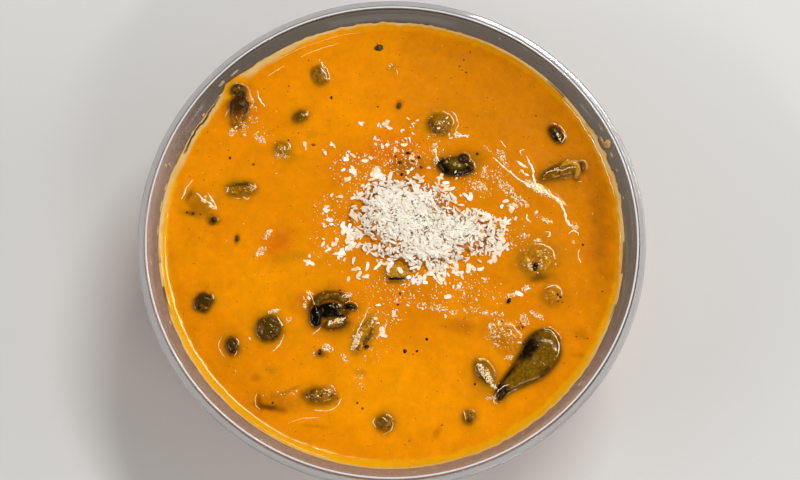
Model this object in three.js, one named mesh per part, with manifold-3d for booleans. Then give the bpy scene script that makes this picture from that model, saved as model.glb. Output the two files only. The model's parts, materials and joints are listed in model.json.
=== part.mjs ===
// A clear plastic bowl of dal, served with peas, cut green beans, chillies and a heap of grated coconut.
// Units are millimetres. +Z is up, the foot ring stands on z = 0, and the origin is on the bowl's axis.
// North is +Y, the far side of the bowl as it is served, and east is +X.
import * as THREE from "three";
import { mergeVertices } from "three/addons/utils/BufferGeometryUtils.js";
import Module from "manifold-3d";

const wasm = await Module();
wasm.setup();

// Driving dimensions of the bowl
const RIM_RADIUS = 75;
const BOWL_HEIGHT = 46;
const WALL = 1.0;
const MOUTH_RADIUS = 71.4; // where the inner wall meets the rim's bead
const MOUTH_DROP = 1.2; // from the top of the bead down to that corner
const FLOOR_RADIUS = 35; // flat part of the inside
const FLOOR_HEIGHT = 3.0;
const FLOOR_CROWN = 0.6; // the floor is pushed up a little in its middle
const FOOT_RADIUS = 36.4;
const FOOT_WIDTH = 2.2;
const BEAD_RADIUS = 72.35; // the middle of the rim's raised bead
const RING_DROP = 0.7; // from the top of the bead down to the flat ring outside it
const SKIRT_DEPTH = 2.4; // the rim's turned-down outer edge
const SKIRT_WALL = 0.8;
const ROUND_SEGMENTS = 48;
const WALL_STEPS = 7;

// Driving dimensions of the food
const DAL_DROP = 5.5; // from the top of the rim down to the dal
const DAL_LEVEL = BOWL_HEIGHT - DAL_DROP;
const DAL_EDGE_RISE = 0.6; // the dal climbs the wall where it touches
const SWELL = 0.16; // height of the slow waves on the dal
const GAP = 0.3; // left between pieces that touch

// ---------- materials ----------

function finish(color, roughness, extra = {}) {
  return new THREE.MeshStandardMaterial({ color, roughness, metalness: 0, ...extra });
}

const MATERIALS = {
  clearPlastic: finish(0x9a9c9e, 0.15, { transparent: true, opacity: 0.4 }),
  dal: finish(0xe68a06, 0.25),
  coconut: finish(0xf0e9dc, 0.7),
  pea: finish(0x5c5a12, 0.3),
  bean: finish(0x575010, 0.35),
  chilli: finish(0x2b280a, 0.3),
  stalk: finish(0x3f2a0a, 0.35),
  coated: finish(0xb87408, 0.3),
};

// ---------- solids ----------

// A geometry's faces as a closed solid that can be cut and joined.
function solidOf(geometry) {
  const bare = geometry.clone();
  bare.deleteAttribute("normal");
  bare.deleteAttribute("uv");
  const merged = mergeVertices(bare, 1e-4);
  return new wasm.Manifold(
    new wasm.Mesh({
      numProp: 3,
      vertProperties: merged.attributes.position.array,
      triVerts: new Uint32Array(merged.index.array),
    }),
  );
}

function geometryOf(solid) {
  const mesh = solid.getMesh();
  const geometry = new THREE.BufferGeometry();
  geometry.setAttribute("position", new THREE.BufferAttribute(mesh.vertProperties, 3));
  geometry.setIndex(new THREE.BufferAttribute(mesh.triVerts, 1));
  return geometry;
}

// Turns a profile of [radius, height] points about the vertical axis.
function turned(profile) {
  const points = profile.map(([r, z]) => new THREE.Vector2(r, z));
  return new THREE.LatheGeometry(points, ROUND_SEGMENTS).rotateX(Math.PI / 2);
}

// ---------- bowl ----------

// The inner face of the wall, from the floor up to the mouth: a flared side on a rounded base.
const wallCurve = new THREE.CubicBezierCurve(
  new THREE.Vector2(FLOOR_RADIUS, FLOOR_HEIGHT),
  new THREE.Vector2(52, FLOOR_HEIGHT),
  new THREE.Vector2(59, 31.8),
  new THREE.Vector2(MOUTH_RADIUS, BOWL_HEIGHT - MOUTH_DROP),
);

// Points along the wall curve up to a share `to` of it, moved outwards by `out` (inwards if it is negative).
function wallPoints(out, to = 1) {
  const points = [];
  for (let i = 0; i <= WALL_STEPS; i++) {
    const t = (to * i) / WALL_STEPS;
    const p = wallCurve.getPoint(t);
    const along = wallCurve.getTangent(t);
    points.push([p.x + along.y * out, p.y - along.x * out]);
  }
  return points;
}

// Where on the wall curve a given height is reached.
function wallShareAt(height) {
  let low = 0;
  let high = 1;
  for (let i = 0; i < 40; i++) {
    const middle = (low + high) / 2;
    if (wallCurve.getPoint(middle).y < height) low = middle;
    else high = middle;
  }
  return low;
}

// The rim from its inside to its outside: a raised bead, a flat ring, then a skirt that turns down.
function rimProfile() {
  const top = BOWL_HEIGHT;
  const ring = top - RING_DROP;
  return [
    [BEAD_RADIUS - 0.7, top - 0.75],
    [BEAD_RADIUS - 0.4, top - 0.15],
    [BEAD_RADIUS, top],
    [BEAD_RADIUS + 0.5, top - 0.2],
    [BEAD_RADIUS + 0.75, ring],
    [RIM_RADIUS - 0.6, ring - 0.05],
    [RIM_RADIUS, ring - 0.7],
    [RIM_RADIUS, ring - SKIRT_DEPTH],
    [RIM_RADIUS - SKIRT_WALL, ring - SKIRT_DEPTH],
    [RIM_RADIUS - SKIRT_WALL, ring - WALL],
    [BEAD_RADIUS + 0.6, ring - WALL],
  ];
}

// The foot ring from its outside to its inside, then the underside of the floor up to the axis.
function footProfile() {
  const outer = FOOT_RADIUS;
  const inner = FOOT_RADIUS - FOOT_WIDTH;
  const underside = FLOOR_HEIGHT - WALL;
  const round = 0.3;
  return [
    [outer + round, underside - 0.5],
    [outer, round],
    [outer - round, 0],
    [inner + round, 0],
    [inner, round],
    [inner - round, underside],
    [0, underside + FLOOR_CROWN],
  ];
}

function bowlSolid() {
  const outside = wallPoints(WALL)
    .filter(([r]) => r > FOOT_RADIUS + 1)
    .reverse();
  const section = [
    [0, FLOOR_HEIGHT + FLOOR_CROWN],
    ...wallPoints(0),
    ...rimProfile(),
    ...outside,
    ...footProfile(),
  ];
  return solidOf(turned(section.reverse()));
}

// ---------- dal ----------

// Slow waves of a thick liquid that was poured and left, as a height above the dal's level.
function swell(x, y) {
  return (
    SWELL * Math.sin(x / 13 + 0.6) * Math.cos(y / 17 - 0.4) +
    0.5 * SWELL * Math.sin((x + y) / 8) * Math.cos((x - 2 * y) / 19)
  );
}

function dalSolid() {
  const rimShare = wallShareAt(DAL_LEVEL + DAL_EDGE_RISE);
  const side = wallPoints(-GAP, rimShare);
  const edge = side[side.length - 1][0];
  const slopeWidth = 1.6;
  const rings = [edge - slopeWidth, edge - 3 * slopeWidth, 50, 34, 18, 0];
  const section = [
    [0, FLOOR_HEIGHT + FLOOR_CROWN + GAP],
    ...side,
    ...rings.map((r) => [r, DAL_LEVEL]),
  ];
  const geometry = turned(section);
  const position = geometry.attributes.position;
  for (let i = 0; i < position.count; i++) {
    const x = position.getX(i);
    const y = position.getY(i);
    const z = position.getZ(i);
    const onTop = z > DAL_LEVEL - 0.01 && Math.hypot(x, y) < edge - 0.5 * slopeWidth;
    if (onTop) position.setZ(i, z + swell(x, y));
  }
  return solidOf(geometry);
}

// ---------- food pieces ----------
// Every builder takes `grow`, which swells the piece so that it can cut its own bed in the dal.

// A closed body along a line, with a blunt tip at each end.
// Each section is [x, y, z, half width, half height].
function lofted(sections, grow, sides = 8) {
  const last = sections.length - 1;
  const centres = sections.map(([x, y, z]) => new THREE.Vector3(x, y, z));
  const points = [];
  for (let i = 0; i <= last; i++) {
    const along = centres[Math.min(i + 1, last)].clone().sub(centres[Math.max(i - 1, 0)]);
    const across = new THREE.Vector3(-along.y, along.x, 0).normalize();
    const halfWidth = sections[i][3] + grow;
    const halfHeight = sections[i][4] + grow;
    for (let k = 0; k < sides; k++) {
      const angle = (2 * Math.PI * k) / sides;
      const point = centres[i].clone().addScaledVector(across, halfWidth * Math.cos(angle));
      point.z += halfHeight * Math.sin(angle);
      points.push(point);
    }
  }
  points.push(tipBeyond(sections, centres, 0, 1, grow));
  points.push(tipBeyond(sections, centres, last, last - 1, grow));
  const firstTip = points.length - 2;
  const lastTip = points.length - 1;
  const faces = [];
  for (let k = 0; k < sides; k++) {
    const next = (k + 1) % sides;
    for (let i = 0; i < last; i++) {
      const a = i * sides + k;
      const b = i * sides + next;
      faces.push(a, b, a + sides, b, b + sides, a + sides);
    }
    faces.push(firstTip, next, k);
    faces.push(lastTip, last * sides + k, last * sides + next);
  }
  return solidOf(meshOf(points, faces));
}

// The tip past the end section `end`, pointing away from section `inner`.
function tipBeyond(sections, centres, end, inner, grow) {
  const outwards = centres[end].clone().sub(centres[inner]).setZ(0).normalize();
  const reach = 0.55 * Math.min(sections[end][3], sections[end][4]) + grow;
  return centres[end].clone().addScaledVector(outwards, reach);
}

function meshOf(points, faces) {
  const geometry = new THREE.BufferGeometry().setFromPoints(points);
  geometry.setIndex(faces);
  return geometry;
}

// A pea or a rounded lump: `size` is [east to west, north to south, height] before it is turned,
// and `rise` is how far its top stands above the dal.
function pea({ at, size, rise, turn = 0 }, grow) {
  const [wide, deep, high] = size;
  const ball = new THREE.SphereGeometry(1, 10, 6).rotateX(Math.PI / 2);
  ball.scale(wide / 2 + grow, deep / 2 + grow, high / 2 + grow);
  ball.rotateZ(THREE.MathUtils.degToRad(turn));
  ball.translate(at[0], at[1], DAL_LEVEL + rise - high / 2);
  return solidOf(ball);
}

// A cut piece lying down: `size` is [length, width, height], and `turn` the way it points,
// in degrees from east towards north.
function bean({ at, size, rise, turn, bend = 0 }, grow) {
  const [length, width, height] = size;
  const angle = THREE.MathUtils.degToRad(turn);
  const tipLength = 0.15 * height;
  const sections = [-1, -0.55, 0, 0.55, 1].map((share) => {
    const along = share * (length / 2 - tipLength);
    const aside = bend * (1 - share * share);
    const taper = 1 - 0.28 * share * share;
    return [
      at[0] + along * Math.cos(angle) - aside * Math.sin(angle),
      at[1] + along * Math.sin(angle) + aside * Math.cos(angle),
      DAL_LEVEL + rise - height / 2,
      (width / 2) * taper,
      (height / 2) * taper,
    ];
  });
  return lofted(sections, grow);
}

// Half a large green chilli: a blunt head that narrows to a bent tail, hollowed where its seeds were.
function largeChilli(_, grow) {
  const z = DAL_LEVEL - 0.3;
  const pod = [
    [48.6, -30.6, z, 2.2, 1.0],
    [47.2, -32.6, z, 4.6, 1.6],
    [44.6, -35.2, z, 5.9, 1.9],
    [41.0, -38.6, z, 4.9, 1.7],
    [37.6, -41.4, z, 3.5, 1.5],
    [34.0, -44.0, z - 0.1, 2.5, 1.3],
    [31.2, -46.6, z - 0.2, 1.6, 1.0],
    [30.0, -49.4, z - 0.3, 1.0, 0.7],
  ];
  const solid = lofted(pod, grow, 10);
  if (grow > 0) return solid;
  const shell = 1.5;
  const hollow = pod.slice(1, 5).map(([x, y, , wide, high]) => [x, y, z + 2.1, wide - shell, high - 0.4]);
  return solid.subtract(lofted(hollow, 0, 10));
}

// A slice of chilli curled into a hook, its open end to the east: `size` is [width, height] of the slice.
function curledChilli({ at, radius, size, rise }, grow) {
  const [width, height] = size;
  const start = 55;
  const sweep = 235;
  const steps = 7;
  const stretch = 1.25; // the hook is longer from east to west
  const sections = [];
  for (let i = 0; i <= steps; i++) {
    const angle = THREE.MathUtils.degToRad(start + (sweep * i) / steps);
    const fatness = 0.62 + 0.38 * Math.sin((Math.PI * i) / steps);
    sections.push([
      at[0] + stretch * radius * Math.cos(angle),
      at[1] + radius * Math.sin(angle),
      DAL_LEVEL + rise - height / 2,
      (width / 2) * fatness,
      (height / 2) * fatness,
    ]);
  }
  return lofted(sections, grow);
}

// A shrivelled chilli end with its round knob.
function knobbedChilli({ at }, grow) {
  const [x, y] = at;
  const z = DAL_LEVEL - 0.3;
  const body = [
    [x - 5.4, y - 1.2, z, 1.7, 1.3],
    [x - 3.0, y - 2.2, z, 2.9, 1.8],
    [x + 0.4, y - 1.4, z, 3.3, 2.0],
    [x + 3.6, y - 0.4, z, 2.6, 1.7],
  ];
  const knob = pea({ at: [x + 3.2, y + 1.6], size: [4.4, 4.4, 4.0], rise: 2.1 }, grow);
  return lofted(body, grow).add(knob);
}

// A dark stalk that leans on the wall in the north-west, its lower end sunk in the dal.
function leaningStalk(_, grow) {
  const z = DAL_LEVEL;
  const stalk = [
    [-46.9, 46.4, z + 1.0, 1.5, 1.2],
    [-47.1, 43.6, z + 0.9, 2.6, 1.9],
    [-47.0, 40.4, z + 0.5, 2.9, 2.0],
    [-47.2, 36.6, z - 0.1, 3.1, 1.8],
    [-47.6, 33.0, z - 0.6, 2.3, 1.3],
  ];
  return lofted(stalk, grow);
}

// The outline of the coconut heap, as a distance from its middle in a given direction.
// It is long from west-north-west to east-south-east, with a lumpy edge.
function heapReach(angle) {
  return (
    18.8 +
    4.8 * Math.cos(2 * angle + 0.7) +
    1.5 * Math.cos(angle + 1.9) +
    0.8 * Math.cos(5 * angle - 0.6) +
    0.6 * Math.sin(7 * angle + 1.1)
  );
}

// Grated coconut, heaped by hand near the middle. It is built of rings, from its outline inwards.
function coconutHeap({ at, height, bed, squeeze }, grow) {
  const around = 28;
  const shares = [1, 0.86, 0.66, 0.44, 0.22];
  const edgeHeight = 0.35;
  const middle = new THREE.Vector3(at[0], at[1], DAL_LEVEL);
  const underZ = DAL_LEVEL - bed - grow;
  const points = [];
  for (const share of shares) {
    for (let k = 0; k < around; k++) {
      const angle = (2 * Math.PI * k) / around;
      const reach = heapReach(angle) * share + grow;
      const lump = 0.3 * Math.sin(3 * angle + 9 * share) + 0.2 * Math.cos(5 * angle - 7 * share);
      const dome = height * Math.pow(1 - share * share, 0.75) + lump;
      const up = share < 1 ? Math.max(edgeHeight, dome) : edgeHeight;
      const offset = new THREE.Vector3(
        reach * Math.cos(angle),
        squeeze * reach * Math.sin(angle),
        up + grow,
      );
      points.push(middle.clone().add(offset));
    }
  }
  for (let k = 0; k < around; k++) points.push(points[k].clone().setZ(underZ));
  points.push(middle.clone().setZ(DAL_LEVEL + height + grow));
  points.push(middle.clone().setZ(underZ));
  const underRing = shares.length * around;
  const innerRing = underRing - around;
  const peak = points.length - 2;
  const under = points.length - 1;
  const faces = [];
  for (let k = 0; k < around; k++) {
    const next = (k + 1) % around;
    for (let a = k; a < innerRing; a += around) {
      const b = a - k + next;
      faces.push(a, b, a + around, b, b + around, a + around);
    }
    faces.push(innerRing + k, innerRing + next, peak);
    faces.push(underRing + k, underRing + next, k, underRing + next, next, k);
    faces.push(under, underRing + next, underRing + k);
  }
  return solidOf(meshOf(points, faces));
}

// Every piece that breaks the surface: its name, finish, builder and sizes.
const PIECES = [
  ["chilli_large", "chilli", largeChilli, {}],
  ["chilli_curl", "chilli", curledChilli, { at: [-17.2, -22.4], radius: 4, size: [3.2, 3.6], rise: 1.15 }],
  ["chilli_knobbed", "chilli", knobbedChilli, { at: [20.6, 23.6] }],
  ["stalk_wall", "stalk", leaningStalk, {}],
  ["pea_west", "pea", pea, { at: [-35.9, -28.5], size: [8.2, 8.6, 7.6], rise: 2.2 }],
  ["pea_north", "pea", pea, { at: [14.3, 35.6], size: [8.6, 8.4, 7.4], rise: 1.7 }],
  ["pea_south", "pea", pea, { at: [-2.0, -56.2], size: [5.6, 5.2, 5.0], rise: 1.1 }],
  ["pea_northwest", "pea", pea, { at: [-33.5, 27.6], size: [5.2, 5.0, 4.8], rise: 1.0 }],
  ["pea_heap", "pea", pea, { at: [1.2, -11.4], size: [7.6, 6.4, 6.0], rise: 1.8 }],
  ["pea_southwest", "pea", pea, { at: [-46.4, -33.6], size: [4.4, 6.2, 5.0], rise: 1.1, turn: 8 }],
  ["pea_coated", "coated", pea, { at: [47.1, -18.6], size: [6.8, 7.0, 6.4], rise: 1.3 }],
  ["lump_east", "coated", pea, { at: [42.6, -8.2], size: [10.8, 11.4, 7.0], rise: 1.3, turn: 30 }],
  ["bean_north", "bean", bean, { at: [-22.4, 51.6], size: [6.6, 4.8, 4.2], rise: 0.9, turn: 112 }],
  ["bean_northwest", "bean", bean, { at: [-28.2, 38.0], size: [5.4, 3.8, 3.6], rise: 0.9, turn: 30 }],
  ["bean_west", "bean", bean, { at: [-45.6, 14.6], size: [8.6, 4.4, 3.8], rise: 1.1, turn: 4 }],
  ["bean_far_west", "bean", bean, { at: [-55.4, -20.6], size: [5.8, 5.0, 4.4], rise: 1.2, turn: 64 }],
  ["bean_southwest", "bean", bean, { at: [-21.0, -48.4], size: [11.2, 6.0, 4.6], rise: 1.1, turn: -4 }],
  ["bean_northeast", "bean", bean, { at: [50.0, 32.2], size: [6.6, 4.0, 3.8], rise: 1.1, turn: 124 }],
  ["bean_east", "bean", bean, { at: [52.6, 20.6], size: [12.6, 5.0, 4.2], rise: 1.0, turn: 14, bend: 0.8 }],
  ["bean_southeast", "bean", bean, { at: [22.2, -54.4], size: [4.4, 3.4, 3.2], rise: 0.8, turn: 70 }],
  ["strip_south", "coated", bean, { at: [-8.0, -30.2], size: [13.4, 5.4, 4.0], rise: 1.15, turn: 62 }],
  ["leaf_southeast", "bean", bean, { at: [26.6, -41.4], size: [8.6, 5.2, 4.0], rise: 1.15, turn: 124 }],
];

const HEAP = { at: [9.8, 3.6], height: 3.6, bed: 0.8, squeeze: 0.86 };

// ---------- the object ----------

function named(name, solid, material) {
  const mesh = new THREE.Mesh(geometryOf(solid), material);
  mesh.name = name;
  return mesh;
}

// The dal and the heap are cut round every piece that lies in them.
function build() {
  const object = new THREE.Group();
  let dal = dalSolid().subtract(coconutHeap(HEAP, GAP));
  let heap = coconutHeap(HEAP, 0);
  for (const [name, material, builder, sizes] of PIECES) {
    const bed = builder(sizes, GAP);
    dal = dal.subtract(bed);
    heap = heap.subtract(bed);
    object.add(named(name, builder(sizes, 0), MATERIALS[material]));
  }
  object.add(named("bowl", bowlSolid(), MATERIALS.clearPlastic));
  object.add(named("dal", dal, MATERIALS.dal));
  object.add(named("coconut_heap", heap, MATERIALS.coconut));
  return object;
}

export default build();
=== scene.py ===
"""A clear plastic bowl of dal with peas, cut beans, chillies and a heap of grated coconut.

Sizes in this script are millimetres until a mesh is made: new_mesh() turns them into metres.
East is +X, north is +Y (the far side of the bowl) and +Z is up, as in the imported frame.
"""

import json
import math

import bpy
import numpy as np
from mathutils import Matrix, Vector
from mathutils.bvhtree import BVHTree


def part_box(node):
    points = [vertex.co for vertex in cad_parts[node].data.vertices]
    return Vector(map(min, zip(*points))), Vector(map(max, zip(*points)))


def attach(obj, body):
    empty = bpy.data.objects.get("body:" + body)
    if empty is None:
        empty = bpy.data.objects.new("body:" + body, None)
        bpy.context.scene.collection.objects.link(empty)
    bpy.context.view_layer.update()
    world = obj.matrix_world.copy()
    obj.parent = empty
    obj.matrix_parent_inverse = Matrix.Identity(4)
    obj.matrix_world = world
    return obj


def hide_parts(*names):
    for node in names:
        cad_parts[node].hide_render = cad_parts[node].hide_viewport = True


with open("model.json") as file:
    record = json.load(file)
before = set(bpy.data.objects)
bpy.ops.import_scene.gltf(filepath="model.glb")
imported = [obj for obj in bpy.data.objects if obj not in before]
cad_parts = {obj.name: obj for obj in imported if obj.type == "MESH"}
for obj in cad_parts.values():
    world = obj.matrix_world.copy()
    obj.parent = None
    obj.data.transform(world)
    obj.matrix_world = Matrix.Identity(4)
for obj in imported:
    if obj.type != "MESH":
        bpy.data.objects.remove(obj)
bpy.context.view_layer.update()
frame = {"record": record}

MM = 0.001

# ---------------------------------------------------------------- sizes taken from the frame


def frame_box(node):
    """A node's lowest and highest corners, in millimetres."""
    low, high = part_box(node)
    return np.array(low) / MM, np.array(high) / MM


_, bowl_high = frame_box("bowl")
RIM_RADIUS = round(float(bowl_high[0]), 2)
HEIGHT = round(float(bowl_high[2]), 2)

# ---------------------------------------------------------------- sizes of the bowl

WALL = 1.0
FLOOR_RADIUS = 35.0
FLOOR_HEIGHT = 3.0
FLOOR_CROWN = 0.6
MOUTH_RADIUS = 71.4
MOUTH_HEIGHT = HEIGHT - 1.2
BEAD_RADIUS = 72.35
RING_DROP = 0.7
SKIRT_DEPTH = 2.4
SKIRT_WALL = 0.8
FOOT_RADIUS = 36.4
FOOT_WIDTH = 2.2

# ---------------------------------------------------------------- sizes of the dal

DAL_LEVEL = HEIGHT - 5.5
SWELL = 0.16
EDGE_RADIUS = 68.4  # where the dal meets the wall
EDGE_RISE = 1.25  # how far it is drawn up there
EDGE_LENGTH = 1.5  # how gently it is drawn up
FILM_REACH = 69.3  # mean radius to which a film of dal clings to the wall
FLAT_RADIUS = 65.0  # where the dal's grid becomes finer
FLAT_SHARE = 0.90  # the share of the grid that lies inside that radius
DRAPE_WIDTH = 1.0  # how broadly the dal is drawn up round the garnish
DRAPE_THIN = 0.25  # how much has drained off where the garnish stands clear
DRAPE_NEAR = 3.5  # how far from the garnish the dal is still drawn up
DRAPE_DEPTH = 0.7  # the drained dal is never further than this under a piece's skin
DRAPE_STEPS = 16  # how often a point of the dal is moved nearer to its height
DRAPE_ERROR = 0.01  # how near is near enough
GARNISH_TOP = 4.2  # no garnish stands higher than this above the dal
FILM_THICKNESS = 0.12
FILM_SUNK = 0.06  # how far the film reaches into the wall
FILM_FILLET = 0.3  # how broadly the dal runs out into its film
WALL_TOUCH = 0.12  # how far the dal reaches into the wall at its edge
WALL_REACH = 0.35  # and further down
DAL_GRID = 300  # cells across the dal's surface
SIDE_STEP = 4  # points of the dal's border for each column of its side

# ---------------------------------------------------------------- colour


def linear(hex_colour):
    """The linear RGB of a colour written as it looks, such as 'EE9100'."""
    channels = [int(hex_colour[i : i + 2], 16) / 255 for i in (0, 2, 4)]
    return np.array([c / 12.92 if c < 0.04045 else ((c + 0.055) / 1.055) ** 2.4 for c in channels])


DAL_ORANGE = linear("E38400")
DAL_YELLOW = linear("F09300")
# Painted shade: the colour that darkens the dal towards the north-east.
DAL_SHADE = linear("B46800")
DAL_RED = linear("D25E04")
FILM = linear("DABC7C")
FILM_YELLOW = linear("F0AA06")
# The next two colours are painted shade: a dark line along the film's border, and dark slots under its top.
FILM_BORDER_SHADE = linear("5A4030")
GAP_SHADE = linear("2E3230")
OILY = linear("FFECC0")  # the tint of the food's shine


def mix(a, b, share):
    """Colours a and b mixed, linear or written as they look: share is one number for each point."""
    a, b = [linear(colour) if isinstance(colour, str) else colour for colour in (a, b)]
    share = np.clip(np.asarray(share, float), 0, 1)[..., None]
    return a * (1 - share) + b * share


def smoothstep(low, high, value):
    t = np.clip((value - low) / (high - low), 0, 1)
    return t * t * (3 - 2 * t)


def bell(value, middle, width, power=2):
    """1 at the middle, falling to 0 at about a width from it."""
    return np.exp(-(np.abs((value - middle) / width) ** power))


# ---------------------------------------------------------------- noise


def lattice(ix, iy, iz, seed):
    """A repeatable random number from 0 to 1 for each whole-numbered point."""
    h = (ix * 374761393 + iy * 668265263 + iz * 1442695041 + seed * 974711) & 0xFFFFFFFF
    h = ((h ^ (h >> 13)) * 1274126177) & 0xFFFFFFFF
    return ((h ^ (h >> 16)) & 0xFFFF) / 65535.0


def noise(x, y, z=0.0, grain=1.0, seed=0):
    """Smooth noise from -1 to 1, its features `grain` across."""
    x, y, z = np.broadcast_arrays(*(np.asarray(value, float) / grain for value in (x, y, z)))
    floors = [np.floor(v).astype(np.int64) for v in (x, y, z)]
    fades = []
    for value, low in zip((x, y, z), floors):
        t = value - low
        fades.append(t * t * t * (t * (6 * t - 15) + 10))
    total = 0.0
    for corner in range(8):
        steps = [(corner >> axis) & 1 for axis in range(3)]
        weight = 1.0
        for step, fade in zip(steps, fades):
            weight = weight * (fade if step else 1 - fade)
        total = total + weight * lattice(*(low + step for low, step in zip(floors, steps)), seed)
    return 2 * total - 1


def rough_noise(x, y, z=0.0, grain=1.0, seed=0):
    """Noise with finer noise on it, from about -1 to 1."""
    finer = (1, 2, 4)
    layers = [noise(x * k, y * k, z * k, grain, seed + i) / k for i, k in enumerate(finer)]
    return sum(layers) / sum(1 / k for k in finer)


# ---------------------------------------------------------------- meshes


def new_mesh(name, points, faces, colours=None, smooth=True):
    """A mesh object from points in millimetres and faces that all have the same number of corners."""
    faces = np.asarray(faces, np.int32)
    points = np.asarray(points, float)
    mesh = bpy.data.meshes.new(name)
    mesh.vertices.add(len(points))
    mesh.vertices.foreach_set("co", (points * MM).astype(np.float32).ravel())
    mesh.loops.add(faces.size)
    mesh.loops.foreach_set("vertex_index", faces.ravel())
    mesh.polygons.add(len(faces))
    mesh.polygons.foreach_set("loop_start", np.arange(0, faces.size, faces.shape[1], dtype=np.int32))
    mesh.polygons.foreach_set("use_smooth", np.full(len(faces), smooth))
    mesh.update(calc_edges=True)
    mesh.validate()
    if colours is not None:
        layer = mesh.color_attributes.new("tone", "FLOAT_COLOR", "POINT")
        rgba = np.ones((len(points), 4), np.float32)
        rgba[:, :3] = colours
        layer.data.foreach_set("color", rgba.ravel())
    piece = bpy.data.objects.new(name, mesh)
    bpy.context.scene.collection.objects.link(piece)
    return piece


def keep(piece, material, slot, *replaced):
    """Finishes a piece of the object: its material, the imported solids it replaces, which it hides, and the
    body it rides on.
    """
    piece.data.materials.append(material)
    if replaced:
        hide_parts(*replaced)
    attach(piece, "root")
    return piece


def grid_faces(rows, sides):
    """Quads between rows of points, each row closed on itself."""
    i, k = np.meshgrid(np.arange(rows - 1), np.arange(sides), indexing="ij")
    following = (k + 1) % sides
    quads = [i * sides + k, (i + 1) * sides + k, (i + 1) * sides + following, i * sides + following]
    return np.stack(quads, -1).reshape(-1, 4)


def split(quads):
    """Quads cut into triangles."""
    quads = np.asarray(quads)
    return np.concatenate([quads[:, [0, 1, 2]], quads[:, [0, 2, 3]]])


def ring_faces(rows, sides):
    """Triangles over rows of points, closed at both ends by one point each: those two come last."""
    k = np.arange(sides)
    following = (k + 1) % sides
    first, last = np.full(sides, rows * sides), np.full(sides, rows * sides + 1)
    end = (rows - 1) * sides
    caps = [np.stack([first, k, following], -1), np.stack([last, end + following, end + k], -1)]
    return np.concatenate([split(grid_faces(rows, sides)), *caps])


def join(*parts):
    """Parts of (points, triangles, colours) put together as one."""
    points, faces, colours = [], [], []
    count = 0
    for part_points, part_faces, part_colours in parts:
        points.append(part_points)
        faces.append(part_faces + count)
        colours.append(part_colours)
        count += len(part_points)
    return np.concatenate(points), np.concatenate(faces), np.concatenate(colours)


def lathe(profile, sides):
    """Points and quads of a closed-up profile of (radius, height) turned about the vertical axis."""
    profile = np.asarray(profile, float)
    angles = np.arange(sides) * 2 * np.pi / sides
    r, z = profile[:, :1], profile[:, 1:]
    points = np.stack([r * np.cos(angles), r * np.sin(angles), z + 0 * angles], -1)
    return points.reshape(-1, 3), grid_faces(len(profile), sides)


def ball(rows, sides):
    """Points over a ball of radius 1, from top to bottom and then its poles, and their triangles."""
    tilt = (np.arange(rows) + 1) / (rows + 1) * np.pi
    turn = np.arange(sides) * 2 * np.pi / sides
    tilt, turn = [v.ravel() for v in np.meshgrid(tilt, turn, indexing="ij")]
    points = np.stack([np.sin(tilt) * np.cos(turn), np.sin(tilt) * np.sin(turn), np.cos(tilt)], -1)
    return np.concatenate([points, [[0, 0, 1], [0, 0, -1]]]), ring_faces(rows, sides)


def spline(points, share):
    """Points at shares 0 to 1 of a smooth line through the given points."""
    points = np.asarray(points, float)
    padded = np.concatenate([2 * points[:1] - points[1:2], points, 2 * points[-1:] - points[-2:-1]])
    at = np.asarray(share) * (len(points) - 1)
    k = np.clip(at.astype(int), 0, len(points) - 2)
    t = (at - k)[:, None]
    a, b, c, d = (padded[k + i] for i in range(4))
    bend = (2 * a - 5 * b + 4 * c - d) * t**2 + (3 * b - a - 3 * c + d) * t**3
    return 0.5 * (2 * b + (c - a) * t + bend)


def loft(sections, rows=70, sides=36, rounding=0.1):
    """A body along a route with rounded ends. A section is (x, y, z, half width, half height).

    Returns its points, its triangles, and for each point its share along and its angle round.
    """
    along = np.linspace(0, 1, rows)
    stations = spline(sections, along)
    centre = stations[:, :3]
    ahead = np.gradient(centre[:, :2], axis=0)
    ahead /= np.linalg.norm(ahead, axis=1)[:, None]
    right = np.stack([ahead[:, 1], -ahead[:, 0], 0 * along], -1)
    to_end = np.clip(np.minimum(along, 1 - along) / rounding, 0.04, 1)
    round_off = np.sqrt(1 - (1 - to_end) ** 2)[:, None, None]
    angle = np.arange(sides) * 2 * np.pi / sides
    across = right[:, None, :] * (stations[:, 3:4] * np.cos(angle))[..., None]
    upward = np.array([0, 0, 1]) * (stations[:, 4:5] * np.sin(angle))[..., None]
    points = centre[:, None, :] + round_off * (across + upward)
    share = np.append(np.repeat(along, sides), [0, 1])
    angles = np.append(np.tile(angle, rows), [0, 0])
    return np.concatenate([points.reshape(-1, 3), centre[[0, -1]]]), ring_faces(rows, sides), share, angles


def rotate(points, angle, axis):
    """Groups of points turned about one axis, each group by its own angle."""
    c, s = np.cos(angle)[:, None], np.sin(angle)[:, None]
    a, b = [(1, 2), (2, 0), (0, 1)][axis]
    out = points.copy()
    out[..., a] = points[..., a] * c - points[..., b] * s
    out[..., b] = points[..., a] * s + points[..., b] * c
    return out


def turned(points, degrees):
    """One group of points turned about the vertical."""
    return rotate(points[None], np.array([math.radians(degrees)]), 2)[0]


def copies(shape, faces, places, yaw, pitch, roll):
    """Copies of shapes (one group of points for each) turned and put in their places."""
    posed = rotate(rotate(rotate(shape, roll, 0), pitch, 1), yaw, 2)
    points = posed + places[:, None, :]
    count = shape.shape[1]
    all_faces = faces[None] + count * np.arange(len(places))[:, None, None]
    return points.reshape(-1, 3), all_faces.reshape(-1, faces.shape[1])


def tinted(points, faces, tones):
    """Copies of a shape with a colour for each copy, as a part for join()."""
    return points, faces, np.repeat(tones, len(points) // len(tones), axis=0)


def grains(shape, radius, least, most, uneven, dice):
    """Uneven copies of a ball, `least` to `most` times their radius along each axis."""
    sizes = radius[:, None] * dice.uniform(least, most, (len(radius), 3))
    return shape[None] * sizes[:, None, :] * dice.uniform(*uneven, (len(radius), len(shape), 1))


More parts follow.
